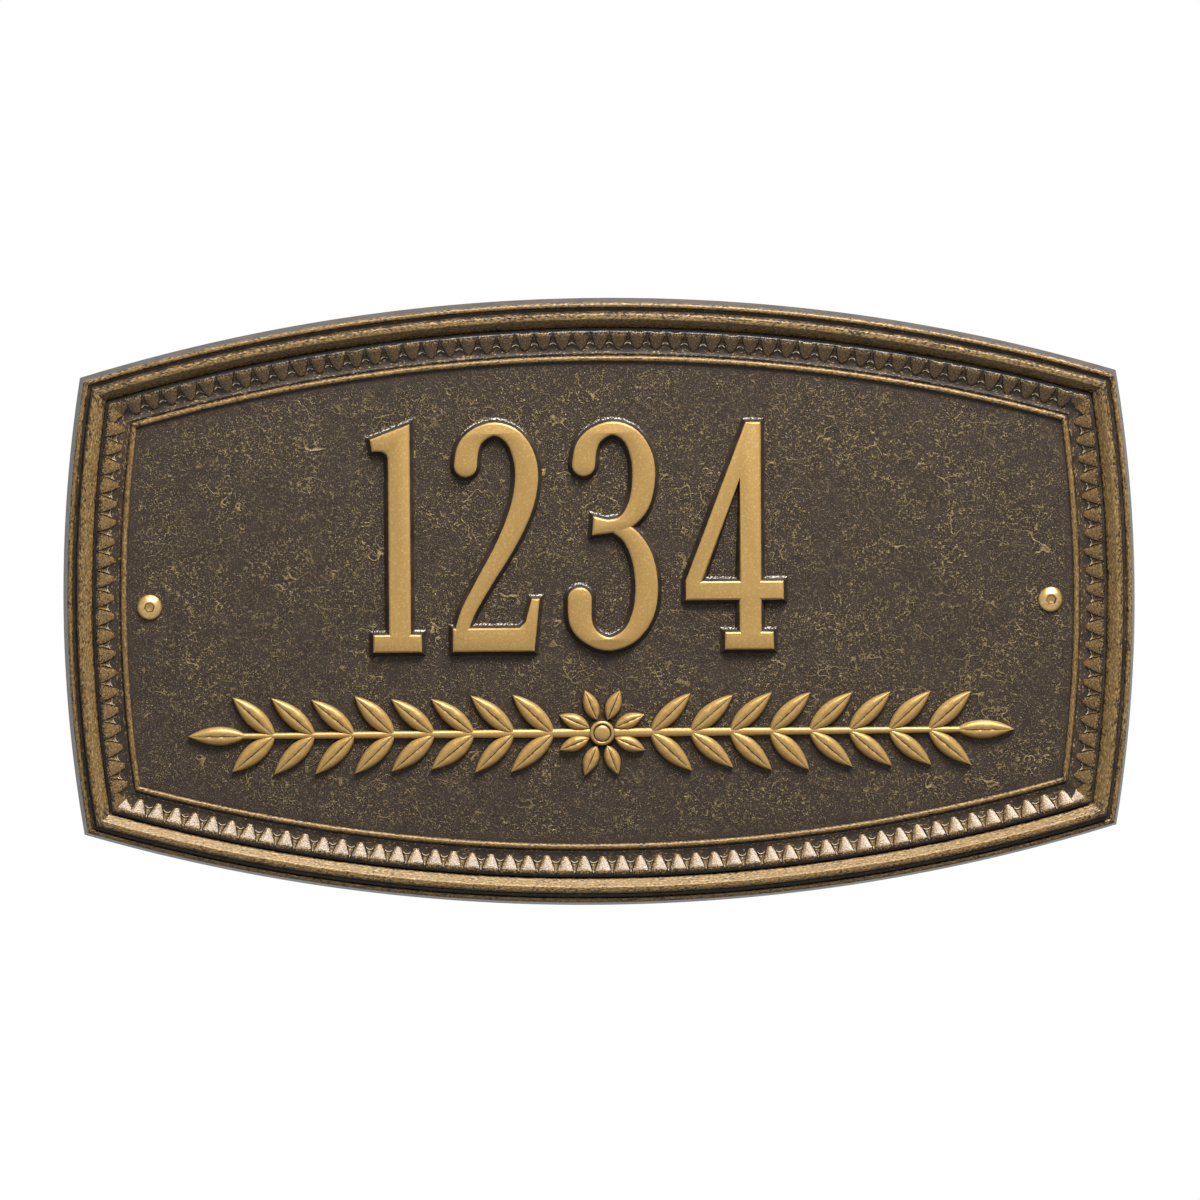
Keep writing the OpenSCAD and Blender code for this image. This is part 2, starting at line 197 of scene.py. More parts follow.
@dataclass(frozen=True)
class AntiqueFinish(Finish):
    """Sand-cast aluminium, sprayed dark bronze and rubbed by hand with gold wax where it is proud.

    The eye gets a broken gold over dark brown, speckled by the sand's grain, under a soft sheen.

    Attributes:
        dark: Colour of the bronze paint.
        deep: Colour of the paint where it has gathered in low places.
        ridge_shade: Colour of the painted shade beside the ridges.
        gold: Colour of the gold rub.
        pale: Colour of the gold's brightest grains.
        bare: Colour of an edge that is worn bright, where the mark named rub is well over 1.
        bead: Colour of the painted glints, the light caught by lacquer at a wall's foot.
        grain_mm: Size of the sand's grain, drawn at the render's pixel where the real is finer.
        patch_mm: Size of the patches that the hand left in the gold and the paint.
        gain: How strongly the mark named rub brings out the gold.
        broken: How far the grain breaks up the gold.
        uneven: How far the gold comes and goes from patch to patch.
        bump_mm: Height of the grain.
        rough: Roughness of paint and gold.
        rough_spread: How much the roughness changes with the grain.
        metal: How metallic the gold looks.
        shine: Specular level of paint and gold.
        painted_shade: How dark the painted shade lies beside the ridges.
        gilt_from: Rub at which gold begins to show, and at which it covers.
        paint_from: Noise of the patches at which the paint begins to thin, and is thin.
        pale_grains: Noise of the grain at which its gold begins to turn pale, and is pale.
        pale_edges: Rub at which the gold begins to turn pale, and is pale.
        bare_edges: Rub at which an edge begins to wear bright, and is bright.
        glint_mm: Size of a painted glint.
        glint_spots: Noise at which a painted glint begins, and is full.
        glint_up: Upward share of the wall's direction at which painted glints begin, and are full.
        glint_foot: Value of the mark named foot at which painted glints begin, and are all there.
        brushed: Whether the grain is drawn out along the moulding, by the marks named lay.
        with_painted_glints: Whether painted glints show where the marks named foot are.
    """

    dark: str = "43372c"
    deep: str = "2a2119"
    ridge_shade: str = "17110c"
    gold: str = "85693c"
    pale: str = "c0a06a"
    bare: str = "ded2bd"
    # Painted highlight: colour of the glints at the foot of walls that face up
    bead: str = "f4efe6"
    grain_mm: float = 0.6
    patch_mm: float = 6.0
    gain: float = 1.0
    broken: float = 2.6
    uneven: float = 0.9
    bump_mm: float = 0.14
    rough: float = 0.36
    rough_spread: float = 0.3
    metal: float = 0.25
    shine: float = 0.28
    painted_shade: float = 0.6
    gilt_from: Point = (0.34, 0.66)
    paint_from: Point = (0.3, 0.7)
    pale_grains: Point = (0.48, 0.72)
    pale_edges: Point = (1.05, 1.4)
    bare_edges: Point = (1.2, 1.8)
    glint_mm: float = 0.7
    glint_spots: Point = (0.48, 0.6)
    glint_up: Point = (0.45, 0.8)
    glint_foot: Point = (0.55, 0.95)
    brushed: bool = False
    with_painted_glints: bool = False

    def make(self) -> Material:
        """Build the material.

        Returns:
            The new material.
        """
        material, where = self.begin()
        node = partial(add_node, material.node_tree)
        lay = where
        if self.brushed:
            lay = node("ShaderNodeAttribute", attribute_name="lay").outputs["Vector"]
        noise = {"Detail": 3.0, "Roughness": 0.6}
        grain = node("ShaderNodeTexNoise", noise | {"Vector": lay, "Scale": 1 / self.grain_mm})
        patch = node("ShaderNodeTexNoise", noise | {"Vector": where, "Scale": 1 / self.patch_mm})
        gilt, height, shade = self.cover(material.node_tree, where, grain, patch)
        colours = {
            0: gilt,
            6: self.paint(material.node_tree, patch, shade),
            7: self.wax(material.node_tree, grain),
        }
        colour = node("ShaderNodeMix", colours, data_type="RGBA").outputs[2]
        # Painted highlight: near-white glints at the foot of walls that face up
        if self.with_painted_glints:
            painted_glints = {
                0: self.painted_glints(material.node_tree, where),
                6: colour,
                7: linear_rgb(self.bead),
            }
            colour = node("ShaderNodeMix", painted_glints, data_type="RGBA").outputs[2]
        roughness = {0: grain, 1: self.rough_spread, 2: self.rough - self.rough_spread / 2}
        self.end(
            material.node_tree,
            {"Height": height, "Strength": 1.0, "Distance": self.bump_mm * MM},
            {
                "Base Color": colour,
                "Metallic": node(
                    "ShaderNodeMath", {0: gilt, 1: self.metal}, operation="MULTIPLY"
                ),
                "Roughness": node("ShaderNodeMath", roughness, operation="MULTIPLY_ADD"),
                "Specular IOR Level": self.shine,
            },
        )
        return material

    def paint(self, tree: Tree, patch: Node, shade: Node | None) -> Socket:
        """Colour the bronze paint, darker where it has gathered, with painted shade by the ridges.

        Args:
            tree: The material's tree.
            patch: The slow noise of the hand.
            shade: The painted shade beside the ridges from 0 to 1, where there is any.

        Returns:
            The paint's colour.
        """
        node = partial(add_node, tree)
        low, high = self.paint_from
        steps = {"Value": patch, "From Min": low, "From Max": high}
        light = node("ShaderNodeMapRange", steps, interpolation_type="SMOOTHSTEP")
        # Painted shade: beside the ridges the paint is darkened, first to the deep colour, then
        # further
        if shade is not None:
            clean = node("ShaderNodeMath", {0: 1.0, 1: shade}, operation="SUBTRACT")
            light = node("ShaderNodeMath", {0: light, 1: clean}, operation="MULTIPLY")
        colours = {0: light, 6: linear_rgb(self.deep), 7: linear_rgb(self.dark)}
        paint = node("ShaderNodeMix", colours, data_type="RGBA").outputs[2]
        if shade is None:
            return paint
        painted_shade = node("ShaderNodeMath", {0: shade, 1: self.painted_shade}, operation="MULTIPLY")
        colours = {0: painted_shade, 6: paint, 7: linear_rgb(self.ridge_shade)}
        return node("ShaderNodeMix", colours, data_type="RGBA").outputs[2]

    def wax(self, tree: Tree, grain: Node) -> Socket:
        """Colour the gold wax, paler on its grains and on well rubbed edges.

        Args:
            tree: The material's tree.
            grain: The fine noise of the sand.

        Returns:
            The wax's colour.
        """
        node = partial(add_node, tree)
        rub = node("ShaderNodeAttribute", attribute_name="rub").outputs["Fac"]
        shares = []
        for value, (low, high) in (
            (grain, self.pale_grains),
            (rub, self.pale_edges),
            (rub, self.bare_edges),
        ):
            steps = {"Value": value, "From Min": low, "From Max": high}
            shares.append(node("ShaderNodeMapRange", steps, interpolation_type="SMOOTHSTEP"))
        grains, edges, worn = shares
        bright = node("ShaderNodeMath", {0: grains, 1: edges}, operation="MAXIMUM")
        colours = {0: bright, 6: linear_rgb(self.gold), 7: linear_rgb(self.pale)}
        wax = node("ShaderNodeMix", colours, data_type="RGBA").outputs[2]
        colours = {0: worn, 6: wax, 7: linear_rgb(self.bare)}
        return node("ShaderNodeMix", colours, data_type="RGBA").outputs[2]

    def painted_glints(self, tree: Tree, where: Node) -> Node:
        """Tell where painted glints show: at the foot of the walls that face up.

        Args:
            tree: The material's tree.
            where: Object coordinates in millimetres.

        Returns:
            The painted glints, from 0 to 1.
        """
        node = partial(add_node, tree)
        foot = node("ShaderNodeAttribute", attribute_name="foot").outputs["Fac"]
        normal = node("ShaderNodeNewGeometry").outputs["True Normal"]
        up = node("ShaderNodeSeparateXYZ", {0: normal}).outputs["Z"]
        noise = {"Vector": where, "Scale": 1 / self.glint_mm, "Detail": 2.0, "Roughness": 0.6}
        shares = []
        for value, (low, high) in (
            (node("ShaderNodeTexNoise", noise), self.glint_spots),
            (up, self.glint_up),
            (foot, self.glint_foot),
        ):
            steps = {"Value": value, "From Min": low, "From Max": high}
            shares.append(node("ShaderNodeMapRange", steps, interpolation_type="SMOOTHSTEP"))
        glint_drops, faces_up, at_foot = shares
        lit = node("ShaderNodeMath", {0: faces_up, 1: at_foot}, operation="MULTIPLY")
        return node("ShaderNodeMath", {0: glint_drops, 1: lit}, operation="MULTIPLY")

    def cover(
        self, tree: Tree, where: Node, grain: Node, patch: Node
    ) -> tuple[Node, Node, Node | None]:
        """Tell how gilt, how high and how shaded the surface is.

        Args:
            tree: The material's tree.
            where: Object coordinates in millimetres; not used here.
            grain: The fine noise of the sand.
            patch: The slow noise of the hand that rubbed the gold on.

        Returns:
            The gold's cover from 0 to 1, the height of the bump, and the painted shade from 0
            to 1, or None where no shade is painted.
        """
        node = partial(add_node, tree)
        rub = node("ShaderNodeAttribute", attribute_name="rub").outputs["Fac"]
        changes = []
        for noise, reach in ((grain, self.broken), (patch, self.uneven)):
            about_zero = {0: noise, 1: reach, 2: -reach / 2}
            changes.append(node("ShaderNodeMath", about_zero, operation="MULTIPLY_ADD"))
        change = node("ShaderNodeMath", dict(enumerate(changes)), operation="ADD")
        rubbed = {0: rub, 1: self.gain, 2: change}
        gold = node("ShaderNodeMath", rubbed, operation="MULTIPLY_ADD")
        low, high = self.gilt_from
        steps = {"Value": gold, "From Min": low, "From Max": high}
        return node("ShaderNodeMapRange", steps, interpolation_type="SMOOTHSTEP"), grain, None


class LineSet(NamedTuple):
    """One set of crackle lines, in millimetres.

    Attributes:
        cell: Size of the cells whose borders the lines follow.
        gap: Size of the patches that break the lines.
        low: The patches' noise at which a line begins to show.
        high: The patches' noise at which a line shows in full.
        width: Half width of a line.
        cells_aside: Whether the cells are drawn aside from the other sets' cells.
        gaps_aside: Whether the patches are.
    """

    cell: float
    gap: float
    low: float
    high: float
    width: float
    cells_aside: bool = False
    gaps_aside: bool = False


@dataclass(frozen=True)
class CrackleFinish(AntiqueFinish):
    """The field's paint over a cast crackle: short wandering ridges with gold on their crests.

    Attributes:
        line_sets: The fine ridges, the coarse ridges and the long cracks.
        cluster_mm: Size of the areas in which ridges crowd.
        aside: Step to where the noise has no likeness to that at the start, in millimetres.
        ridge_rise: Height of a ridge, in heights of the grain.
        bend: How far the cells are bent, in sizes of a cell.
        bend_scale: Scale of that bend, for a cell of one.
        crest: Share of a line's half width that shows in full.
        shade_ends: Where a line's painted shade ends and where it is in full, in half widths.
        crowd_from: Noise at which ridges begin to crowd, and at which they do so in full.
        least: Share of the ridges that is left between the crowded areas.
        speck_from: Noise of the grain at which a gold speck begins, and shows in full.
        speck_gain: How much more gilt a speck is where ridges crowd.
        speck_least: How gilt a speck is where there is no ridge.
    """

    line_sets: tuple[LineSet, ...] = (
        LineSet(2.5, 1.1, 0.5, 0.6, 0.27, gaps_aside=True),
        LineSet(5.25, 2.2, 0.52, 0.62, 0.27, cells_aside=True),
        LineSet(26.0, 7.0, 0.45, 0.58, 0.34),
    )
    cluster_mm: float = 16.0
    aside: Spot = (37.0, 11.0, 53.0)
    ridge_rise: float = 1.3
    bend: float = 2.4
    bend_scale: float = 0.8
    crest: float = 0.25
    shade_ends: Point = (2.8, 1.2)
    crowd_from: Point = (0.36, 0.62)
    least: float = 0.35
    speck_from: Point = (0.58, 0.68)
    speck_gain: float = 0.6
    speck_least: float = 0.22

    def cell_edges(self, tree: Tree, where: Node, size: float) -> Node:
        """Tell how far the nearest border of bent cells is.

        Args:
            tree: The material's tree.
            where: Object coordinates in millimetres.
            size: Size of the cells, in millimetres.

        Returns:
            The distance in millimetres.
        """
        node = partial(add_node, tree)
        scale = self.bend_scale / size
        noise = {"Vector": where, "Scale": scale, "Detail": 3.0, "Roughness": 0.6}
        bend = node("ShaderNodeTexNoise", noise).outputs["Color"]
        bend = {0: bend, "Scale": self.bend * size}
        pull = node("ShaderNodeVectorMath", bend, operation="SCALE")
        bent = node("ShaderNodeVectorMath", {0: where, 1: pull}, operation="ADD")
        cells = node(
            "ShaderNodeTexVoronoi", {"Vector": bent, "Scale": 1 / size}, feature="DISTANCE_TO_EDGE"
        )
        distance = {0: cells.outputs["Distance"], 1: size}
        return node("ShaderNodeMath", distance, operation="MULTIPLY")

    def strokes(self, tree: Tree, away: Node, kept: Node, width: float) -> tuple[Node, Node]:
        """Draw broken lines and the painted shade beside them.

        Args:
            tree: The material's tree.
            away: Distance from the line, in millimetres.
            kept: Where the line is kept, from 0 to 1.
            width: Half width of the line, in millimetres.

        Returns:
            The lines, and the lines with their painted shade.
        """
        node = partial(add_node, tree)
        drawn = []
        for outer, inner in ((1.0, self.crest), self.shade_ends):
            steps = {"Value": away, "From Min": outer * width, "From Max": inner * width}
            near = node("ShaderNodeMapRange", steps, interpolation_type="SMOOTHSTEP")
            drawn.append(node("ShaderNodeMath", {0: near, 1: kept}, operation="MULTIPLY"))
        return drawn[0], drawn[1]

    def cover(
        self, tree: Tree, where: Node, grain: Node, patch: Node
    ) -> tuple[Node, Node, Node | None]:
        """Tell how gilt, how high and how shaded the crackle is.

        Args:
            tree: The material's tree.
            where: Object coordinates in millimetres.
            grain: The fine noise of the sand.
            patch: The slow noise of the hand that rubbed the gold on.

        Returns:
            The gold's cover from 0 to 1, the height of the bump, and the painted shade beside the
            ridges from 0 to 1.
        """
        node = partial(add_node, tree)
        calm = node("ShaderNodeAttribute", attribute_name="calm").outputs["Fac"]
        share = node("ShaderNodeMath", {0: 1.0, 1: calm}, operation="SUBTRACT")
        noise = {"Vector": where, "Scale": 1 / self.cluster_mm, "Detail": 3.0, "Roughness": 0.6}
        crowd, (low, high) = node("ShaderNodeTexNoise", noise), self.crowd_from
        steps = {"Value": crowd, "From Min": low, "From Max": high}
        dense = node("ShaderNodeMapRange", steps, interpolation_type="SMOOTHSTEP")
        dense = {0: dense, 1: 1 - self.least, 2: self.least}
        busy = node("ShaderNodeMath", dense, operation="MULTIPLY_ADD")
        busy = node("ShaderNodeMath", {0: busy, 1: share}, operation="MULTIPLY")
        aside = node("ShaderNodeVectorMath", {0: where, 1: self.aside}, operation="ADD")
        drawn = []
        for kind in self.line_sets:
            spot = aside if kind.gaps_aside else where
            noise = {"Vector": spot, "Scale": 1 / kind.gap, "Detail": 2.0, "Roughness": 0.6}
            gaps = node("ShaderNodeTexNoise", noise)
            steps = {"Value": gaps, "From Min": kind.low, "From Max": kind.high}
            kept = node("ShaderNodeMapRange", steps, interpolation_type="SMOOTHSTEP")
            away = self.cell_edges(tree, aside if kind.cells_aside else where, kind.cell)
            drawn.append(self.strokes(tree, away, kept, kind.width))
        # The wider band round each line is painted shade beside the ridge
        merged = []
        for fine, coarse, cracks in zip(*drawn):
            larger = node("ShaderNodeMath", {0: coarse, 1: cracks}, operation="MAXIMUM")
            most = node("ShaderNodeMath", {0: fine, 1: larger}, operation="MAXIMUM")
            merged.append(node("ShaderNodeMath", {0: most, 1: busy}, operation="MULTIPLY"))
        ridges, ridge_shades = merged
        low, high = self.speck_from
        steps = {"Value": grain, "From Min": low, "From Max": high}
        speck = node("ShaderNodeMapRange", steps, interpolation_type="SMOOTHSTEP")
        gain = {0: busy, 1: self.speck_gain, 2: self.speck_least}
        often = node("ShaderNodeMath", gain, operation="MULTIPLY_ADD")
        specks = node("ShaderNodeMath", {0: speck, 1: often}, operation="MULTIPLY")
        gilt = node("ShaderNodeMath", {0: ridges, 1: specks}, operation="MAXIMUM")
        raised = {0: ridges, 1: self.ridge_rise, 2: grain}
        return gilt, node("ShaderNodeMath", raised, operation="MULTIPLY_ADD"), ridge_shades


@dataclass(frozen=True)
class BrassFinish(Finish):
    """Solid brass, turned and polished, under clear lacquer.

    The eye gets a warm mirror, a little clouded, with painted shade darkening the socket.

    Attributes:
        colour: Colour of the clean brass.
        dull: Colour of the brass where the lacquer has clouded.
        socket_shade: Colour of the dirt in the socket.
        cloud_mm: Size of the clouds.
        rough: Roughness of the polish.
        rough_spread: How much rougher it is where it has clouded.
        cloud_from: Noise of the clouds at which the brass begins to be clean, and is clean.
        wave_mm: Height of the waves that the polishing left.
    """

    colour: str = "cfb07a"
    dull: str = "b5935c"
    # socket_shade: Colour of the painted shade in the socket.
    socket_shade: str = "2c2115"
    cloud_mm: float = 1.2
    rough: float = 0.3
    rough_spread: float = 0.12
    cloud_from: Point = (0.3, 0.7)
    wave_mm: float = 0.02

    def make(self) -> Material:
        """Build the material.

        Returns:
            The new material.
        """
        material, where = self.begin()
        node = partial(add_node, material.node_tree)
        noise = {"Vector": where, "Scale": 1 / self.cloud_mm, "Detail": 3.0, "Roughness": 0.6}
        wear = node("ShaderNodeTexNoise", noise)
        low, high = self.cloud_from
        steps = {"Value": wear, "From Min": low, "From Max": high}
        share = node("ShaderNodeMapRange", steps, interpolation_type="SMOOTHSTEP")
        colours = {0: share, 6: linear_rgb(self.dull), 7: linear_rgb(self.colour)}
        clean = node("ShaderNodeMix", colours, data_type="RGBA").outputs[2]
        # Painted shade: the socket's walls are darkened where the mark named foot is set
        painted_shade = node("ShaderNodeAttribute", attribute_name="foot").outputs["Fac"]
        colours = {0: painted_shade, 6: clean, 7: linear_rgb(self.socket_shade)}
        colour = node("ShaderNodeMix", colours, data_type="RGBA").outputs[2]
        roughness = {0: wear, 1: self.rough_spread, 2: self.rough}
        self.end(
            material.node_tree,
            {"Height": wear, "Strength": 0.3, "Distance": self.wave_mm * MM},
            {
                "Base Color": colour,
                "Metallic": 1.0,
                "Roughness": node("ShaderNodeMath", roughness, operation="MULTIPLY_ADD"),
            },
        )
        return material


# ---------------------------------------------------------------- shape of the panel


class Edge(Enum):
    """The panel's four edges, numbered clockwise from the top."""

    TOP = 0
    RIGHT = 1
    BOTTOM = 2
    LEFT = 3

    @property
    def is_crown(self) -> bool:
        """Whether the edge is the top or the bottom one."""
        return self in (Edge.TOP, Edge.BOTTOM)


@dataclass(frozen=True)
class PanelForm:
    """Arched outline that everything on the panel follows, in millimetres.

    Attributes:
        width: Width over all.
        height: Height over all.
        crown_rise: Rise of the top and bottom edges above their corners.
        side_bow: Bow of the left and right edges past their corners.
        field: Height of the field above the wall.
        rim: Width of the flat rim at the back.
        hollow: Depth of the hollow at the back.
        ledge: Thickness of the border's foot over the hollow, which the plate laps.
        sink: Depth by which a raised form is sunk into the field.
    """

    width: float = 400.0
    height: float = 227.0
    crown_rise: float = 28.3
    side_bow: float = 7.0
    field: float = 5.0
    rim: float = 12.0
    hollow: float = 1.6
    ledge: float = 1.4
    sink: float = 0.4

    @staticmethod
    def arc_radius(half_chord: float, rise: float) -> float:
        """Give the radius of the arc whose half chord and rise are given."""
        return (half_chord**2 + rise**2) / (2 * rise)

    @property
    def crown_radius(self) -> float:
        """Radius of the top and bottom edges."""
        return self.arc_radius(self.width / 2 - self.side_bow, self.crown_rise)

    @property
    def side_radius(self) -> float:
        """Radius of the left and right edges."""
        return self.arc_radius(self.height / 2 - self.crown_rise, self.side_bow)

    @property
    def sunk(self) -> float:
        """Height of the foot of a form that is sunk into the field."""
        return self.field - self.sink

    def radius(self, edge: Edge) -> float:
        """Give the radius of one edge."""
        return self.crown_radius if edge.is_crown else self.side_radius

    def centre(self, edge: Edge) -> Point:
        """Give the centre of one edge's arc.

        Args:
            edge: Which edge.

        Returns:
            Its x and z.
        """
        crown, side = self.height / 2 - self.crown_radius, self.width / 2 - self.side_radius
        return {
            Edge.TOP: (0.0, crown),
            Edge.RIGHT: (side, 0.0),
            Edge.BOTTOM: (0.0, -crown),
            Edge.LEFT: (-side, 0.0),
        }[edge]

    def corner(self, inset: float) -> Point:
        """Give the upper right corner of the outline when all its edges have moved in.

        Args:
            inset: How far the edges have moved in.

        Returns:
            Its x and z.
        """
        crown, side = self.centre(Edge.TOP), self.centre(Edge.RIGHT)
        dx, dz = side[0] - crown[0], side[1] - crown[1]
        span = math.hypot(dx, dz)
        ux, uz = dx / span, dz / span
        big, small = self.crown_radius - inset, self.side_radius - inset
        along = (big**2 - small**2 + span**2) / (2 * span)
        across = math.sqrt(big**2 - along**2)
        return crown[0] + along * ux + across * uz, crown[1] + along * uz - across * ux

    def half_angle(self, edge: Edge, inset: float, short: float = 0.0) -> float:
        """Give the angle from an edge's middle to its mitre, on the line moved in by inset.

        Args:
            edge: Which edge.
            inset: How far the line has moved in.
            short: How far the angle ends short of the mitre, in millimetres.

        Returns:
            The angle in radians.
        """
        x, z = self.corner(inset)
        reach = (x if edge.is_crown else z) - short
        return math.asin(reach / (self.radius(edge) - inset))

    def point(self, edge: Edge, inset: float, angle: float) -> Point:
        """Give a point of an edge.

        Args:
            edge: Which edge.
            inset: How far the edge has moved in.
            angle: Angle from its middle, clockwise.

        Returns:
            Its x and z.
        """
        turn = angle + edge.value * math.pi / 2
        r, (cx, cz) = self.radius(edge) - inset, self.centre(edge)
        return cx + r * math.sin(turn), cz + r * math.cos(turn)

    def outline(self, inset: float, steps: int = 64) -> Loop:
        """Give the closed outline moved in, clockwise from the upper left corner.

        Args:
            inset: How far it has moved in.
            steps: Points on each edge.

        Returns:
            Its points.
        """
        loop = []
        for edge in Edge:
            half = self.half_angle(edge, inset)
            loop += [self.point(edge, inset, half * (2 * i / steps - 1)) for i in range(steps)]
        return loop


def arc(cx: float, cy: float, r: float, start: float, end: float, steps: int) -> Loop:
    """Give points on an arc, with both ends.

    Args:
        cx: The centre's first coordinate.
        cy: Its second.
        r: The radius.
        start: First angle, in degrees.
        end: Last angle, in degrees.
        steps: Steps from one end to the other.

    Returns:
        The points.
    """
    angles = [math.radians(start + (end - start) * i / steps) for i in range(steps + 1)]
    return [(cx + r * math.cos(a), cy + r * math.sin(a)) for a in angles]


def smooth(keys: Sequence[Spot], steps: int = 7) -> list[Spot]:
    """Give a smooth path through keys of three numbers each, such as x, y and width.

    Args:
        keys: The keys.
        steps: Steps from key to key.

    Returns:
        The path, with its last key.
    """
    path, last = [], len(keys) - 1
    for i in range(last):
        a, b, c, d = keys[max(i - 1, 0)], keys[i], keys[i + 1], keys[min(i + 2, last)]
        for j in range(steps):
            t = j / steps
            path.append(
                tuple(
                    q + (r - p) * t / 2 + (2 * p - 5 * q + 4 * r - s) * t * t / 2
                    + (3 * q - p - 3 * r + s) * t**3 / 2
                    for p, q, r, s in zip(a, b, c, d)
                )
            )
    return [*path, tuple(keys[last])]


def circle(cx: float, cz: float, r: float, steps: int = 48) -> Loop:
    """Give a closed circle."""
    angles = [2 * math.pi * i / steps for i in range(steps)]
    return [(cx + r * math.cos(a), cz + r * math.sin(a)) for a in angles]


class SolidMaker:
    """Collects rings of points and the faces between them into one closed mesh."""

    def __init__(self) -> None:
        """Start with nothing."""
        self.spots: list[Spot] = []
        self.faces: list[tuple[int, ...]] = []
        self.marks: dict[str, list[float]] = {"rub": [], "calm": [], "foot": []}

    def ring(
        self, loop: Loop, rise: float, rub: float = 0.0, calm: float = 0.0, foot: float = 0.0
    ) -> list[int]:
        """Add a closed ring of points at one height.

        Args:
            loop: Points of the ring.
            rise: Height above the wall, in mm.
            rub: How far the gold is rubbed on there.
            calm: How far the field's crackle dies away there.
            foot: How strongly painted glints show there on a numeral, and painted shade in a
                screw's socket.

        Returns:
            The numbers of its points.
        """
        first = len(self.spots)
        self.spots += [place(x, z, rise) for x, z in loop]
        for mark, value in (("rub", rub), ("calm", calm), ("foot", foot)):
            self.marks[mark] += [value] * len(loop)
        return list(range(first, len(self.spots)))

    def wall(self, low: list[int], high: list[int]) -> None:
        """Join two rings.

        Args:
            low: Points of the first ring.
            high: As many points of the second.
        """
        count = len(low)
        for i in range(count):
            j = (i + 1) % count
            self.faces.append((low[i], low[j], high[j], high[i]))

    def walls(self, rings: Sequence[list[int]]) -> None:
        """Join each ring to the next."""
        for low, high in zip(rings, rings[1:]):
            self.wall(low, high)

    def cap(self, ring: list[int], holes: Sequence[list[int]] = (), up: bool = True) -> None:
        """Close a ring with triangles round its holes.

        Args:
            ring: The outer ring.
            holes: Rings of the holes.
            up: Whether the cap faces away from the wall.
        """
        rings = [ring, *holes]
        numbers = [i for r in rings for i in r]
        flat = [[Vector((self.spots[i][0], self.spots[i][2], 0.0)) for i in r] for r in rings]
        for a, b, c in tessellate_polygon(flat):
            spots = (self.spots[numbers[k]] for k in (a, b, c))
            pa, pb, pc = (Vector((spot[0], spot[2])) for spot in spots)
            area = (pb - pa).cross(pc - pa)
            if area == 0:
                continue
            order = (a, b, c) if (area > 0) == up else (a, c, b)
            self.faces.append(tuple(numbers[k] for k in order))

    def make(self, name: str, sharp: float = 40.0) -> Piece:
        """Make the piece."""
        return make_piece(name, self.spots, self.faces, self.marks, sharp)


@dataclass
class PlaquePart:
    """Sub-assembly that follows the panel's form and stands for one CAD node.

    Attributes:
        form: The panel's form.
        node: The CAD node that its pieces stand for.
        slot: The record's material slot; not used.
    """

    form: PanelForm
    node: str = "plaque"
    slot: str = "antique_cast"

    def dress(self, piece: Piece, material: Material) -> Piece:
        """Dress a piece, stand it for its CAD node and let it ride on the one body.

        Args:
            piece: The piece.
            material: Its finish.

        Returns:
            The piece.
        """
        piece.data.materials.clear()
        piece.data.materials.append(material)
        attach(piece, BODY)
        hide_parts(self.node)
        return piece


@dataclass
class FieldPlate(PlaquePart):
    """Flat field inside the border, with the hollow back, the pads and the screw holes.

    Attributes:
        screw_gap: Distance from screw to screw.
        hole_radius: Radius of a screw hole.
        pad_radius: Radius of the pad round a hole.
        pad_flare: How much wider a pad is at its root.
        skirt: Distance from the outer edge to the plate's lower part.
        tuck: Distance from the outer edge to the field's edge, under the bead.
        calm_to: Distance from the outer edge to where the crackle is in full.
    """

    screw_gap: float = 336.0
    hole_radius: float = 2.6
    pad_radius: float = 8.5
    pad_flare: float = 0.2
    skirt: float = 20.0
    tuck: float = 22.9
    calm_to: float = 29.0

    def build(self) -> Piece:
        """Build the closed plate.

        Returns:
            The piece.
        """
        form, maker = self.form, SolidMaker()
        ledge = form.hollow + form.ledge
        low = maker.ring(form.outline(self.skirt), form.hollow, calm=1.0)
        shelf = maker.ring(form.outline(self.skirt), ledge, calm=1.0)
        step = maker.ring(form.outline(self.tuck), ledge, calm=1.0)
        edge = maker.ring(form.outline(self.tuck), form.field, calm=1.0)
        inner = maker.ring(form.outline(self.calm_to), form.field)
        maker.walls((low, shelf, step, edge, inner))
        tops, pads = [], []
        for side in (-1, 1):
            x = side * self.screw_gap / 2
            hole, pad = circle(x, 0, self.hole_radius), circle(x, 0, self.pad_radius)
            top = maker.ring(hole, form.field)
            bottom = maker.ring(hole, 0.0, calm=1.0)
            foot = maker.ring(pad, 0.0, calm=1.0)
            root = maker.ring(
                circle(x, 0, self.pad_radius + self.pad_flare), form.hollow, calm=1.0
            )
            maker.wall(top, bottom)
            maker.cap(foot, [bottom], up=False)
            maker.wall(foot, root)
            tops.append(top)
            pads.append(root)
        maker.cap(inner, tops)
        maker.cap(low, pads, up=False)
        return maker.make("field_plate")


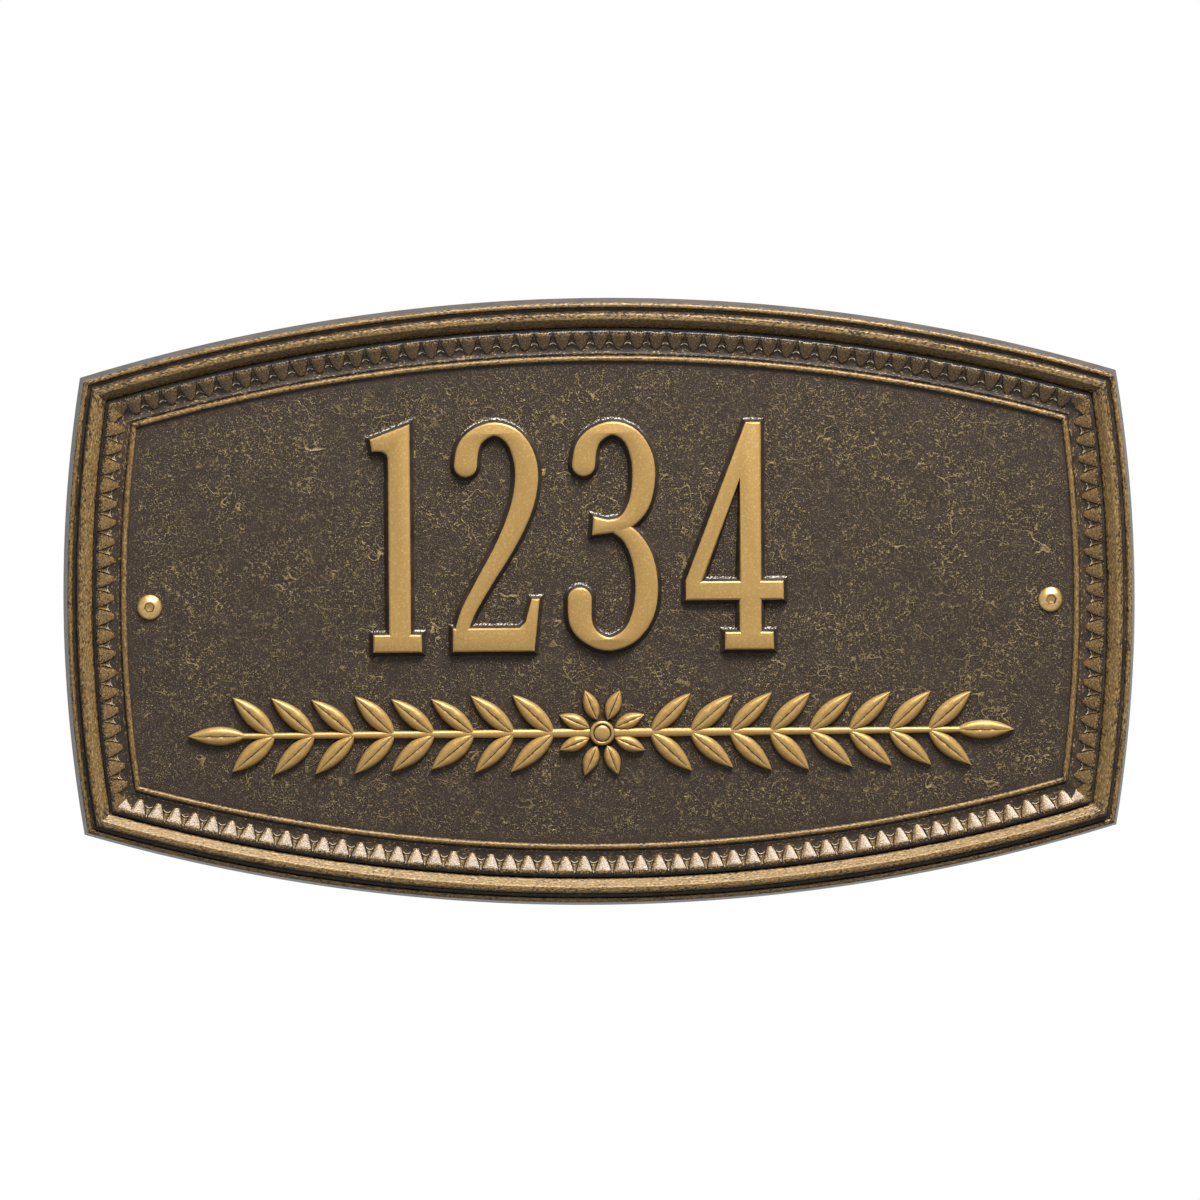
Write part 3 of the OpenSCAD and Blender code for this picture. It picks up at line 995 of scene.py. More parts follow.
@dataclass
class MouldedBorder(PlaquePart):
    """Mitred moulding round the field: drafted wall, lip, groove, large roll, cove and bead.

    Attributes:
        wall_lean: Lean of the outer wall, from the wall plane up to the lip.
        wall_rub: Rows of height and rub on the outer wall.
        lip_radius: Radius of the lip.
        lip_rise: Top of the lip above the field.
        lip_rub: Rub on the lip's crest.
        roll: Keys of the large roll: distance from the edge, share of its rise, and rub.
        roll_rise: Top of the roll above the field.
        groove_rise: Height of the grooves above the field.
        cove_at: Distance of the cove from the edge.
        cove: Rows of distance past cove_at, height above the field, and rub.
        line: Rows of the thin line beside the bead: distance, height above the field, and rub.
        bead_at: Distance of the bead's middle from the edge.
        bead_radius: Radius of the bead.
        bead_rise: Top of the bead above the field.
        bead_rub: Rub on the bead's crest.
        inner_end: Distance of the border's inner end, inside the plate.
        lap_at: Distance at which the plate begins to lap the border.
        crown_stations: Steps along the top and bottom edges.
        side_stations: Steps along the left and right edges.
        crowding: Power by which the steps crowd towards the mitres.
        corner_rub: Share of the rub that is left at a mitre.
        corner_wear: Distance from a mitre at which the rub is in full.
        lay_step: Shift of the brushed grain from edge to edge.
    """

    wall_lean: float = 1.5
    wall_rub: tuple[Point, ...] = ((0.0, -0.8), (2.0, -0.8), (4.0, -0.8), (5.4, -0.5))
    lip_radius: float = 1.05
    lip_rise: float = 2.2
    lip_rub: float = 0.85
    roll: tuple[Spot, ...] = (
        (4.6, 0.15, -0.2), (4.8, 0.48, 0.0), (5.15, 0.76, 0.15), (5.6, 0.93, 0.45),
        (6.2, 0.985, 0.7), (7.4, 0.99, 0.9), (7.9, 0.93, 1.0), (8.6, 0.79, 1.0),
        (9.3, 0.65, 0.95), (10.0, 0.51, 0.9), (10.6, 0.39, 0.7), (10.95, 0.24, 0.0),
        (11.15, 0.15, -0.3),
    )
    roll_rise: float = 4.5
    groove_rise: float = 0.7
    cove_at: float = 12.6
    cove: tuple[Spot, ...] = ((0.0, 1.0, -0.2), (2.6, 0.35, 0.0), (5.0, 0.05, 0.0))
    line: tuple[Spot, ...] = (
        (19.9, 0.02, 0.0), (20.3, 0.3, 0.15), (20.6, 0.32, 0.2), (20.9, 0.05, 0.0),
    )
    bead_at: float = 22.4
    bead_radius: float = 1.1
    bead_rise: float = 1.4
    bead_rub: float = 0.9
    inner_end: float = 23.6
    lap_at: float = 20.0
    crown_stations: int = 160
    side_stations: int = 72
    crowding: float = 1.25
    corner_rub: float = 0.55
    corner_wear: float = 7.0
    lay_step: float = 40.0

    def section(self) -> list[Spot]:
        """Give the closed section.

        Returns:
            Rows of distance from the edge, height and how far gold is rubbed on.
        """
        form = self.form
        field, groove, ledge = form.field, form.field + self.groove_rise, form.hollow + form.ledge
        lip_x = self.wall_lean + self.lip_radius
        lip_y = field + self.lip_rise - self.lip_radius
        bead_y = field + self.bead_rise - self.bead_radius
        lip_end = math.degrees(math.asin((groove - lip_y) / self.lip_radius))
        bead_end = math.degrees(math.asin((field - bead_y) / self.bead_radius))
        lean = self.wall_lean / lip_y
        rows = [(height * lean, height, rub) for height, rub in self.wall_rub]
        lip = arc(lip_x, lip_y, self.lip_radius, 180, lip_end, 12)
        rows += [(x, y, self.worn(y, lip_y, self.lip_radius, self.lip_rub)) for x, y in lip]
        rows += [(x, field + self.roll_rise * y, rub) for x, y, rub in smooth(self.roll, 3)]
        rows += [(11.5, groove, -0.3), (11.9, groove + 0.1, -0.3)]
        rows += [(self.cove_at + x, field + y, rub) for x, y, rub in self.cove]
        rows += [(x, field + y, rub) for x, y, rub in self.line]
        bead = arc(self.bead_at, bead_y, self.bead_radius, 180 - bead_end, bead_end, 12)
        rows += [(x, y, self.worn(y, bead_y, self.bead_radius, self.bead_rub)) for x, y in bead]
        rows += [(self.inner_end, form.sunk, 0.0), (self.inner_end, ledge, 0.0)]
        rows += [(self.lap_at, ledge, 0.0), (self.lap_at, form.hollow, 0.0)]
        rows += [(form.rim + 0.2, form.hollow, 0.0), (form.rim, 0.0, 0.0)]
        return rows

    @staticmethod
    def worn(y: float, centre: float, radius: float, most: float) -> float:
        """Give how far gold is rubbed on a rounded form: most at its crest, none in the groove."""
        return most * max(0.0, min(1.0, (y - centre) / radius + 0.2))

    def build(self, edge: Edge) -> Piece:
        """Build one edge of the border, cut along its mitres.

        Args:
            edge: Which edge.

        Returns:
            The piece.
        """
        form, rows = self.form, self.section()
        stations = self.crown_stations if edge.is_crown else self.side_stations
        spots, rubs, lay = [], [], []
        length = form.radius(edge) * form.half_angle(edge, 0)
        for i in range(stations + 1):
            share = 2 * i / stations - 1
            share = math.copysign(1 - (1 - abs(share)) ** self.crowding, share)
            near = min(1.0, (1 - abs(share)) * length / self.corner_wear)
            for inset, rise, rub in rows:
                x, z = form.point(edge, inset, form.half_angle(edge, inset) * share)
                spots.append(place(x, z, rise))
                rubs.append(rub * (self.corner_rub + (1 - self.corner_rub) * near))
                lay.append((share * length / 2, inset, rise + self.lay_step * edge.value))
        count, faces = len(rows), []
        for i in range(stations):
            for j in range(count):
                a, b = i * count + j, i * count + (j + 1) % count
                faces.append((a, b, b + count, a + count))
        faces.append(tuple(range(count)))
        faces.append(tuple(stations * count + j for j in range(count)))
        piece = make_piece(f"border_{edge.name.lower()}", spots, faces, {"rub": rubs}, 50)
        marks = piece.data.attributes.new("lay", "FLOAT_VECTOR", "POINT")
        marks.data.foreach_set("vector", [c for spot in lay for c in spot])
        return piece


# ---------------------------------------------------------------- carved leaves


def grid_solid(name: str, across: int, along: int, surface: Surface, foot: float) -> Piece:
    """Make a small closed form from a surface over a grid, with walls down to a flat foot.

    Args:
        name: Name of the piece.
        across: Steps from side to side.
        along: Steps from root to tip.
        surface: Gives x, z, rise and rub in mm from -1 to 1 across and 0 to 1 along.
        foot: Height of the flat foot, in mm.

    Returns:
        The piece.
    """
    spots, rubs, faces = [], [], []
    for j in range(along + 1):
        for i in range(across + 1):
            x, z, rise, rub = surface(2 * i / across - 1, j / along)
            spots.append(place(x, z, rise))
            rubs.append(rub)
    wide = across + 1
    for j in range(along):
        for i in range(across):
            a = j * wide + i
            faces.append((a, a + 1, a + wide + 1, a + wide))
    rim = list(range(across))
    rim += [j * wide + across for j in range(along)]
    rim += [along * wide + i for i in range(across, 0, -1)]
    rim += [j * wide for j in range(along, 0, -1)]
    first = len(spots)
    for i in rim:
        x, _, z = spots[i]
        spots.append((x, -foot * MM, z))
        rubs.append(0.0)
    for k in range(len(rim)):
        m = (k + 1) % len(rim)
        faces.append((rim[k], first + k, first + m, rim[m]))
    faces.append(tuple(first + k for k in range(len(rim))))
    return make_piece(name, spots, faces, {"rub": rubs}, 60)


@dataclass
class LeafBand(PlaquePart):
    """Carved leaves with their roots inside the large roll, and a scooped dart between each two.

    Attributes:
        root_at: Distance of the roots from the outer edge.
        length: Length of a leaf.
        root_width: Width of a leaf at its root.
        tip_width: Width of a leaf at its tip.
        rise: Height of a leaf's root above the field.
        tip_rise: Height of its tip above the field.
        root_round: How far the root is rounded down.
        pitch: Nominal distance from leaf to leaf.
        dart_drop: Depth of a dart below the leaves beside it.
        dart_length: Length of a dart.
        rim_at: Where along a dart its thin rim stands.
        rim_rise: Height of the thin rim.
        cut: Width of the cut between leaf and dart.
        web: Length of the web at a corner.
        unevenness: How far a copy's turn and size stray.
        first_seed: Seed of the top edge's copies; each next edge has the next one.
    """

    root_at: float = 12.1
    length: float = 6.7
    root_width: float = 6.9
    tip_width: float = 2.1
    rise: float = 4.0
    tip_rise: float = 0.3
    root_round: float = 1.1
    pitch: float = 6.9
    dart_drop: float = 1.1
    dart_length: float = 5.4
    rim_at: float = 0.89
    rim_rise: float = 0.95
    cut: float = 0.48
    web: float = 4.2
    unevenness: float = 0.015
    first_seed: int = 7

    def slope(self, along: float) -> float:
        """Give the height of a leaf's ridge above the field, from its rounded root to its tip."""
        fall = self.rise - (self.rise - self.tip_rise) * max(0.0, along)
        return fall - self.root_round * max(0.0, 1 - along / 0.2) ** 2

    def width(self, along: float) -> float:
        """Give a leaf's width from its root to its tip."""
        return self.root_width + (self.tip_width - self.root_width) * along

    def leaf_surface(self, aside: float, along: float) -> tuple[float, float, float, float]:
        """Give a point of the leaf, which narrows from its root to a blunt tip.

        Args:
            aside: From -1 to 1 across the leaf.
            along: From 0 at the root to 1 at the tip.

        Returns:
            Its x, z, rise and rub.
        """
        crown = -0.3 * abs(aside) ** 3 * min(1.0, along / 0.3)
        rub = 0.1 + 0.85 * min(1.0, along / 0.28) - 0.3 * abs(aside) ** 6
        rise = self.form.field + self.slope(along) + crown
        return aside * self.width(along) / 2, -along * self.length, rise, rub

    def dart_surface(self, aside: float, along: float) -> tuple[float, float, float, float]:
        """Give a point of the dart, a flute that widens to a scooped end with a thin rim.

        Args:
            aside: From -1 to 1 across the dart.
            along: From 0 at the root to 1 at the end.

        Returns:
            Its x, z, rise and rub.
        """
        u = (0.12 + 0.88 * along) * self.dart_length
        share = u / self.length
        half = (self.pitch - self.width(share)) / 2 - self.cut * min(1.0, 0.3 + along)
        from_rim = abs(along - self.rim_at)
        rim = self.rim_rise * max(0.0, 1 - from_rim / 0.15)
        flute = -0.6 * (1 - abs(aside)) * along
        rise = self.slope(share) - self.dart_drop * min(1.0, 0.35 + along) + rim + flute
        back = 0.8 * along**3 * (1 - aside * aside)
        rub = 0.8 + 1.2 * max(0.0, 1 - from_rim / 0.1)
        return aside * max(0.08, half), -u + back, self.form.field + rise, rub

    def span(self, edge: Edge) -> float:
        """Give half the angle that the leaves of an edge take."""
        return self.form.half_angle(edge, self.root_at + self.length, self.tip_width / 2)

    def count(self, edge: Edge) -> int:
        """Give the number of leaves that fit along an edge."""
        radius = self.form.radius(edge) - self.root_at - self.length
        return int(2 * self.span(edge) * radius / self.pitch)

    def corner_web(self, edge: Edge, end: int) -> Piece:
        """Build the web from an edge's last leaf to the mitre, where the band turns the corner.

        Args:
            edge: Which edge.
            end: -1 for the web at its start and 1 for the one at its end, clockwise.

        Returns:
            The web.
        """
        form = self.form
        last = self.span(edge) * (1 - 1 / self.count(edge))
        leaf_half = self.root_width / 2 / (form.radius(edge) - self.root_at) * 0.8

        def surface(aside: float, along: float) -> tuple[float, float, float, float]:
            """Give a point of the web.

            Args:
                aside: From -1 at the leaf's side to 1 at the mitre.
                along: From 0 at the root to 1 at the end.

            Returns:
                Its x, z, rise and rub.
            """
            out = (aside + 1) / 2
            inset = self.root_at + along * self.web * (0.75 + 0.6 * out)
            angle = (last + leaf_half) * (1 - out) + form.half_angle(edge, inset) * out
            x, z = form.point(edge, inset, end * angle)
            share = (inset - self.root_at) / self.length
            rub = 0.35 + 0.5 * min(1.0, share / 0.3)
            return x, z, form.field + self.slope(share) - 0.15, rub

        return grid_solid("web", 6, 5, surface, form.sunk)

    def build(self, edge: Edge, tree: Tree, material: Material) -> Piece:
        """Build the leaves and darts of one edge.

        Args:
            edge: Which edge.
            tree: The tree that lays copies along an arc.
            material: Finish of the leaves.

        Returns:
            The piece.
        """
        leaf = grid_solid("leaf", 6, 8, self.leaf_surface, self.form.sunk)
        dart = grid_solid("dart", 4, 9, self.dart_surface, self.form.sunk)
        webs = [self.corner_web(edge, end) for end in (-1, 1)]
        count, span = self.count(edge), self.span(edge)
        cx, cz = self.form.centre(edge)
        host = make_piece(f"leaves_{edge.name.lower()}", [(0, 0, 0)], [])
        for copied, number, half in (
            (leaf, count, span),
            (dart, count - 1, span * (count - 1) / count),
        ):
            values = {
                "Form": copied,
                "Count": number,
                "Radius": (self.form.radius(edge) - self.root_at) * MM,
                "Half Angle": half,
                "Centre": (cx * MM, 0.0, cz * MM),
                "Turn": edge.value * math.pi / 2,
                "Unevenness": self.unevenness,
                "Seed": self.first_seed + edge.value,
                "Finish": material,
            }
            add_modifier(host, tree, values)
        return join(bake(host, [leaf, dart]), webs)


def join(piece: Piece, others: Sequence[Piece]) -> Piece:
    """Take other objects' meshes into a piece and delete them.

    Args:
        piece: The piece.
        others: The objects that it takes in.

    Returns:
        The piece.
    """
    work = bmesh.new()
    for source in (piece, *others):
        work.from_mesh(source.data)
    work.to_mesh(piece.data)
    work.free()
    piece.data.shade_smooth()
    piece.data.set_sharp_from_angle(angle=math.radians(60))
    for other in others:
        bpy.data.objects.remove(other)
    return piece


def add_modifier(host: Piece, tree: Tree, values: dict[str, object]) -> None:
    """Put a Geometry Nodes modifier on a host, and set its inputs by their identifiers.

    Args:
        host: The object.
        tree: The modifier's tree.
        values: Its inputs, by the names of their sockets.
    """
    modifier = host.modifiers.new(tree.name, "NODES")
    modifier.node_group = tree
    for item in tree.interface.items_tree:
        if item.item_type == "SOCKET" and item.in_out == "INPUT" and item.name in values:
            modifier[item.identifier] = values[item.name]


def bake(host: Piece, sources: Sequence[Piece] = ()) -> Piece:
    """Turn a host's modifiers into a plain mesh and delete the forms they copied.

    Args:
        host: Object with the modifiers.
        sources: Objects that its trees copied.

    Returns:
        The host, with its final mesh.
    """
    bpy.context.view_layer.update()
    graph = bpy.context.evaluated_depsgraph_get()
    mesh = bpy.data.meshes.new_from_object(host.evaluated_get(graph))
    mesh.name = host.name
    host.modifiers.clear()
    host.data = mesh
    mesh.set_sharp_from_angle(angle=math.radians(60))
    for source in sources:
        bpy.data.objects.remove(source)
    return host


def new_tree(name: str, kinds: dict[str, str]) -> tuple[Tree, Node]:
    """Start a Geometry Nodes tree with named inputs.

    Args:
        name: Name of the tree.
        kinds: Input name to kind of socket, between the geometry and the finish.

    Returns:
        The tree and its Group Input node.
    """
    tree = bpy.data.node_groups.new(name, "GeometryNodeTree")
    for label, kind in {"Geometry": "Geometry", **kinds, "Finish": "Material"}.items():
        tree.interface.new_socket(label, in_out="INPUT", socket_type=f"NodeSocket{kind}")
    tree.interface.new_socket("Geometry", in_out="OUTPUT", socket_type="NodeSocketGeometry")
    return tree, add_node(tree, "NodeGroupInput")


def close_tree(tree: Tree, start: Node, geometry: Node) -> None:
    """End a tree: copies are made real, get the finish and join what came in.

    Args:
        tree: The tree.
        start: Its Group Input node.
        geometry: What the tree has made.
    """
    real = add_node(tree, "GeometryNodeRealizeInstances", {0: geometry})
    finish = {"Geometry": real, "Material": start.outputs["Finish"]}
    done = add_node(tree, "GeometryNodeSetMaterial", finish)
    joined = add_node(tree, "GeometryNodeJoinGeometry", {0: done})
    tree.links.new(start.outputs["Geometry"], joined.inputs[0])
    add_node(tree, "NodeGroupOutput", {0: joined})


def lay_copies(tree: Tree, start: Node, points: Node, turn: Node, scale: Node) -> None:
    """Put a copy of the form on each point, and end the tree.

    Args:
        tree: The tree.
        start: Its Group Input node.
        points: The points.
        turn: Each copy's turn about the axis that leaves the wall.
        scale: Each copy's scale.
    """
    form = add_node(tree, "GeometryNodeObjectInfo", {"Object": start.outputs["Form"]})
    values = {
        "Points": points,
        "Instance": form.outputs["Geometry"],
        "Rotation": add_node(tree, "ShaderNodeCombineXYZ", {"Y": turn}),
        "Scale": scale,
    }
    close_tree(tree, start, add_node(tree, "GeometryNodeInstanceOnPoints", values))


def arc_tree() -> Tree:
    """Build the tree that lays copies of a form along an arc, each a little uneven.

    Returns:
        The tree.
    """
    kinds = {
        "Form": "Object",
        "Count": "Int",
        "Radius": "Float",
        "Half Angle": "Float",
        "Centre": "Vector",
        "Turn": "Float",
        "Unevenness": "Float",
        "Seed": "Int",
    }
    tree, start = new_tree("copies_along_arc", kinds)
    node, get = partial(add_node, tree), start.outputs
    middle = node("ShaderNodeMath", {0: node("GeometryNodeInputIndex"), 1: 0.5}, operation="ADD")
    share = node("ShaderNodeMath", {0: middle, 1: get["Count"]}, operation="DIVIDE")
    double = node("ShaderNodeMath", {0: share, 1: 2.0}, operation="MULTIPLY")
    signed = node("ShaderNodeMath", {0: double, 1: 1.0}, operation="SUBTRACT")
    angle = node("ShaderNodeMath", {0: signed, 1: get["Half Angle"]}, operation="MULTIPLY")
    turn = node("ShaderNodeMath", {0: angle, 1: get["Turn"]}, operation="ADD")
    reach = {}
    for axis, operation in (("X", "SINE"), ("Z", "COSINE")):
        part = node("ShaderNodeMath", {0: turn, 1: 0.0}, operation=operation)
        reach[axis] = node("ShaderNodeMath", {0: part, 1: get["Radius"]}, operation="MULTIPLY")
    out = node("ShaderNodeCombineXYZ", reach)
    where = node("ShaderNodeVectorMath", {0: out, 1: get["Centre"]}, operation="ADD")
    points = node("GeometryNodePoints", {"Count": get["Count"]})
    laid = node("GeometryNodeSetPosition", {"Geometry": points, "Position": where})
    limits = {"Min": (-1.0, -1.0, -1.0), "Max": (1.0, 1.0, 1.0), "Seed": get["Seed"]}
    uneven = node("FunctionNodeRandomValue", limits, data_type="FLOAT_VECTOR")
    scaled = {0: uneven, "Scale": get["Unevenness"]}
    jitter = node("ShaderNodeVectorMath", scaled, operation="SCALE")
    stray = node("ShaderNodeSeparateXYZ", {0: jitter}).outputs["Y"]
    size = node("ShaderNodeVectorMath", {0: jitter, 1: (1.0, 1.0, 1.0)}, operation="ADD")
    sizes = node("ShaderNodeSeparateXYZ", {0: size}).outputs
    scale = node("ShaderNodeCombineXYZ", {"X": sizes["X"], "Y": 1.0, "Z": sizes["Z"]})
    spin = node("ShaderNodeMath", {0: turn, 1: stray}, operation="ADD")
    lay_copies(tree, start, laid, spin, scale)
    return tree


# ---------------------------------------------------------------- numerals


def unit(dx: float, dy: float) -> Point:
    """Give the direction of a step."""
    size = math.hypot(dx, dy) or 1.0
    return dx / size, dy / size


def offset(loop: Loop, out: float) -> Loop:
    """Move a closed outline out, or in where out is negative, with mitred corners.

    Args:
        loop: The outline, counter-clockwise.
        out: The distance in mm.

    Returns:
        The moved outline, with as many points.
    """
    moved = []
    for i, (x, y) in enumerate(loop):
        px, py = loop[i - 1]
        nx, ny = loop[(i + 1) % len(loop)]
        u, v = unit(x - px, y - py), unit(nx - x, ny - y)
        share = out / max(1 + u[0] * v[0] + u[1] * v[1], 0.35)
        moved.append((x + share * (u[1] + v[1]), y - share * (u[0] + v[0])))
    return moved


def stroke(keys: Sequence[Spot], steps: int = 7) -> Loop:
    """Give the closed outline of a pen stroke with a round start.

    Args:
        keys: Points of the stroke's middle, with its width there.
        steps: Steps from key to key.

    Returns:
        The outline, counter-clockwise.
    """
    path = smooth(keys, steps)
    right, left = [], []
    for i, (x, y, width) in enumerate(path):
        a, b = path[max(i - 1, 0)], path[min(i + 1, len(path) - 1)]
        ux, uy = unit(b[0] - a[0], b[1] - a[1])
        right.append((x + width / 2 * uy, y - width / 2 * ux))
        left.append((x - width / 2 * uy, y + width / 2 * ux))
    x, y, width = path[0]
    back = math.degrees(math.atan2(y - path[1][1], x - path[1][0]))
    return arc(x, y, width / 2, back - 75, back + 75, 10) + right + left[::-1]


@dataclass
class Numerals(PlaquePart):
    """Row of raised numerals with flat gilt tops and drafted dark sides.

    Attributes:
        height: Height of a numeral.
        drawn: Height on which the numerals are drawn.
        gap: Space between two numerals.
        middle_x: Place of the row's middle.
        middle_z: Height of its middle above the screws.
        rise: Height above the field.
        draft: Spread of a wall, from the top edge out to the foot.
        stagger: How much lower the second form of a numeral is, so that tops never coincide.
    """

    height: float = 84.8
    drawn: float = 85.0
    gap: float = 11.0
    middle_x: float = -8.9
    middle_z: float = 25.1
    rise: float = 3.2
    draft: float = 1.9
    stagger: float = 0.02

    def shapes(self) -> list[tuple[float, list[tuple[Loop, Loop]]]]:
        """Draw the numerals.

        Returns:
            Each numeral's drawn width, and its outlines with their holes.
        """
        one = [(0.8, 0), (18.2, 0), (18.2, 6), (14.2, 6), (14.2, 84.4), (0, 79), (0.7, 75)]
        one += [*arc(3.2, 71.5, 3.5, 90, 0, 8), (6.7, 6), (0.8, 6)]
        bow = [(6, 69.2, 7.9), (7, 75.4, 7.4), (10.4, 80.2, 5.6), (17, 82.8, 4.4),
               (23.8, 79.6, 5.9)]
        two = stroke([*bow, (28, 71.8, 7.6), (28.6, 62, 7.9), (26, 51, 7.4), (20, 38, 6.2),
                      (12.6, 25.4, 5.2), (6.4, 14, 4.6), (3.4, 4.4, 4.2)])
        base = [(1.2, 0), (31, 0), (33, 19), (30.6, 19), (28.4, 10.6), (26, 8.2), (1.2, 8.2)]
        upper = stroke([*bow, (27.8, 71.8, 7.6), (28.3, 62.6, 7.8), (26.4, 54, 7),
                        (21.6, 47.8, 5.2), (15.6, 46.2, 4.4), (9.6, 46.4, 6.4)])
        lower = stroke([(4.3, 19, 8.3), (4.7, 10.4, 7.8), (8.6, 4.8, 5.6), (15.4, 2.2, 4.4),
                        (23.2, 5.6, 5.6), (28, 13.6, 7.4), (29.3, 24, 7.8), (27.6, 34.6, 7.2),
                        (23.2, 42.4, 5.6), (17.2, 46.4, 4.2)])
        four = [(14.6, 0), (32.2, 0), (32.2, 6), (27.6, 6), (27.6, 18.6), (36, 18.6), (36, 25),
                (27.6, 25), (27.6, 84.4), (22.4, 84.4), (0, 25.6), (0, 18.6), (20.1, 18.6),
                (20.1, 6), (14.6, 6)]
        eye = [(20.1, 25), (5.4, 25), (20.1, 64)]
        return [
            (18.2, [(one, [])]),
            (33, [(two, []), (base, [])]),
            (33.2, [(upper, []), (lower, [])]),
            (36, [(four, eye)]),
        ]

    def levels(self, lower: float) -> list[Spot]:
        """Give the levels of a wall from its foot to the edge of the flat top.

        Args:
            lower: How much lower than the others the top is.

        Returns:
            Rows of spread, height and rub.
        """
        foot, top = self.form.field, self.form.field + self.rise - lower
        # Sunk foot, drafted wall that steepens upwards, then a soft bevel to the flat top
        return [
            (self.draft + 0.3, foot - 0.5, 0.0),
            (self.draft, foot + 0.03, 0.0),
            (self.draft * 0.8, foot + 0.35, 0.0),
            (self.draft * 0.3, top - 0.75, 0.0),
            (0.2, top - 0.42, 0.5),
            (-0.16, top - 0.12, 1.0),
            (-0.4, top, 1.0),
        ]

    def build(self) -> list[Piece]:
        """Build the four numerals.

        Returns:
            The pieces.
        """
        pieces, share, shapes = [], self.height / self.drawn, self.shapes()
        row = sum(width for width, _ in shapes) * share + self.gap * (len(shapes) - 1)
        x, z = self.middle_x - row / 2, self.middle_z - self.height / 2
        for number, (width, parts) in enumerate(shapes, start=1):
            maker = SolidMaker()
            for k, drawn in enumerate(parts):
                loops = [
                    [(x + px * share, z + py * share) for px, py in loop] for loop in drawn if loop
                ]
                self.raise_form(maker, loops, self.stagger * k)
            pieces.append(maker.make(f"numeral_{number}", 32))
            x += width * share + self.gap
        return pieces

    def raise_form(self, maker: SolidMaker, loops: list[Loop], lower: float) -> None:
        """Add one raised form, its hole included.

        Args:
            maker: Collects the form.
            loops: The outline, and then its holes.
            lower: How much lower than the others its top is.
        """
        tops, feet = [], []
        for loop in loops:
            # The two rings at the wall's foot carry the mark that places the painted glints
            rings = [
                maker.ring(offset(loop, out), rise, rub, foot=float(k in (1, 2)))
                for k, (out, rise, rub) in enumerate(self.levels(lower))
            ]
            maker.walls(rings)
            tops.append(rings[-1])
            feet.append(rings[0])
        maker.cap(tops[0], tops[1:])
        maker.cap(feet[0], feet[1:], up=False)


# ---------------------------------------------------------------- laurel spray


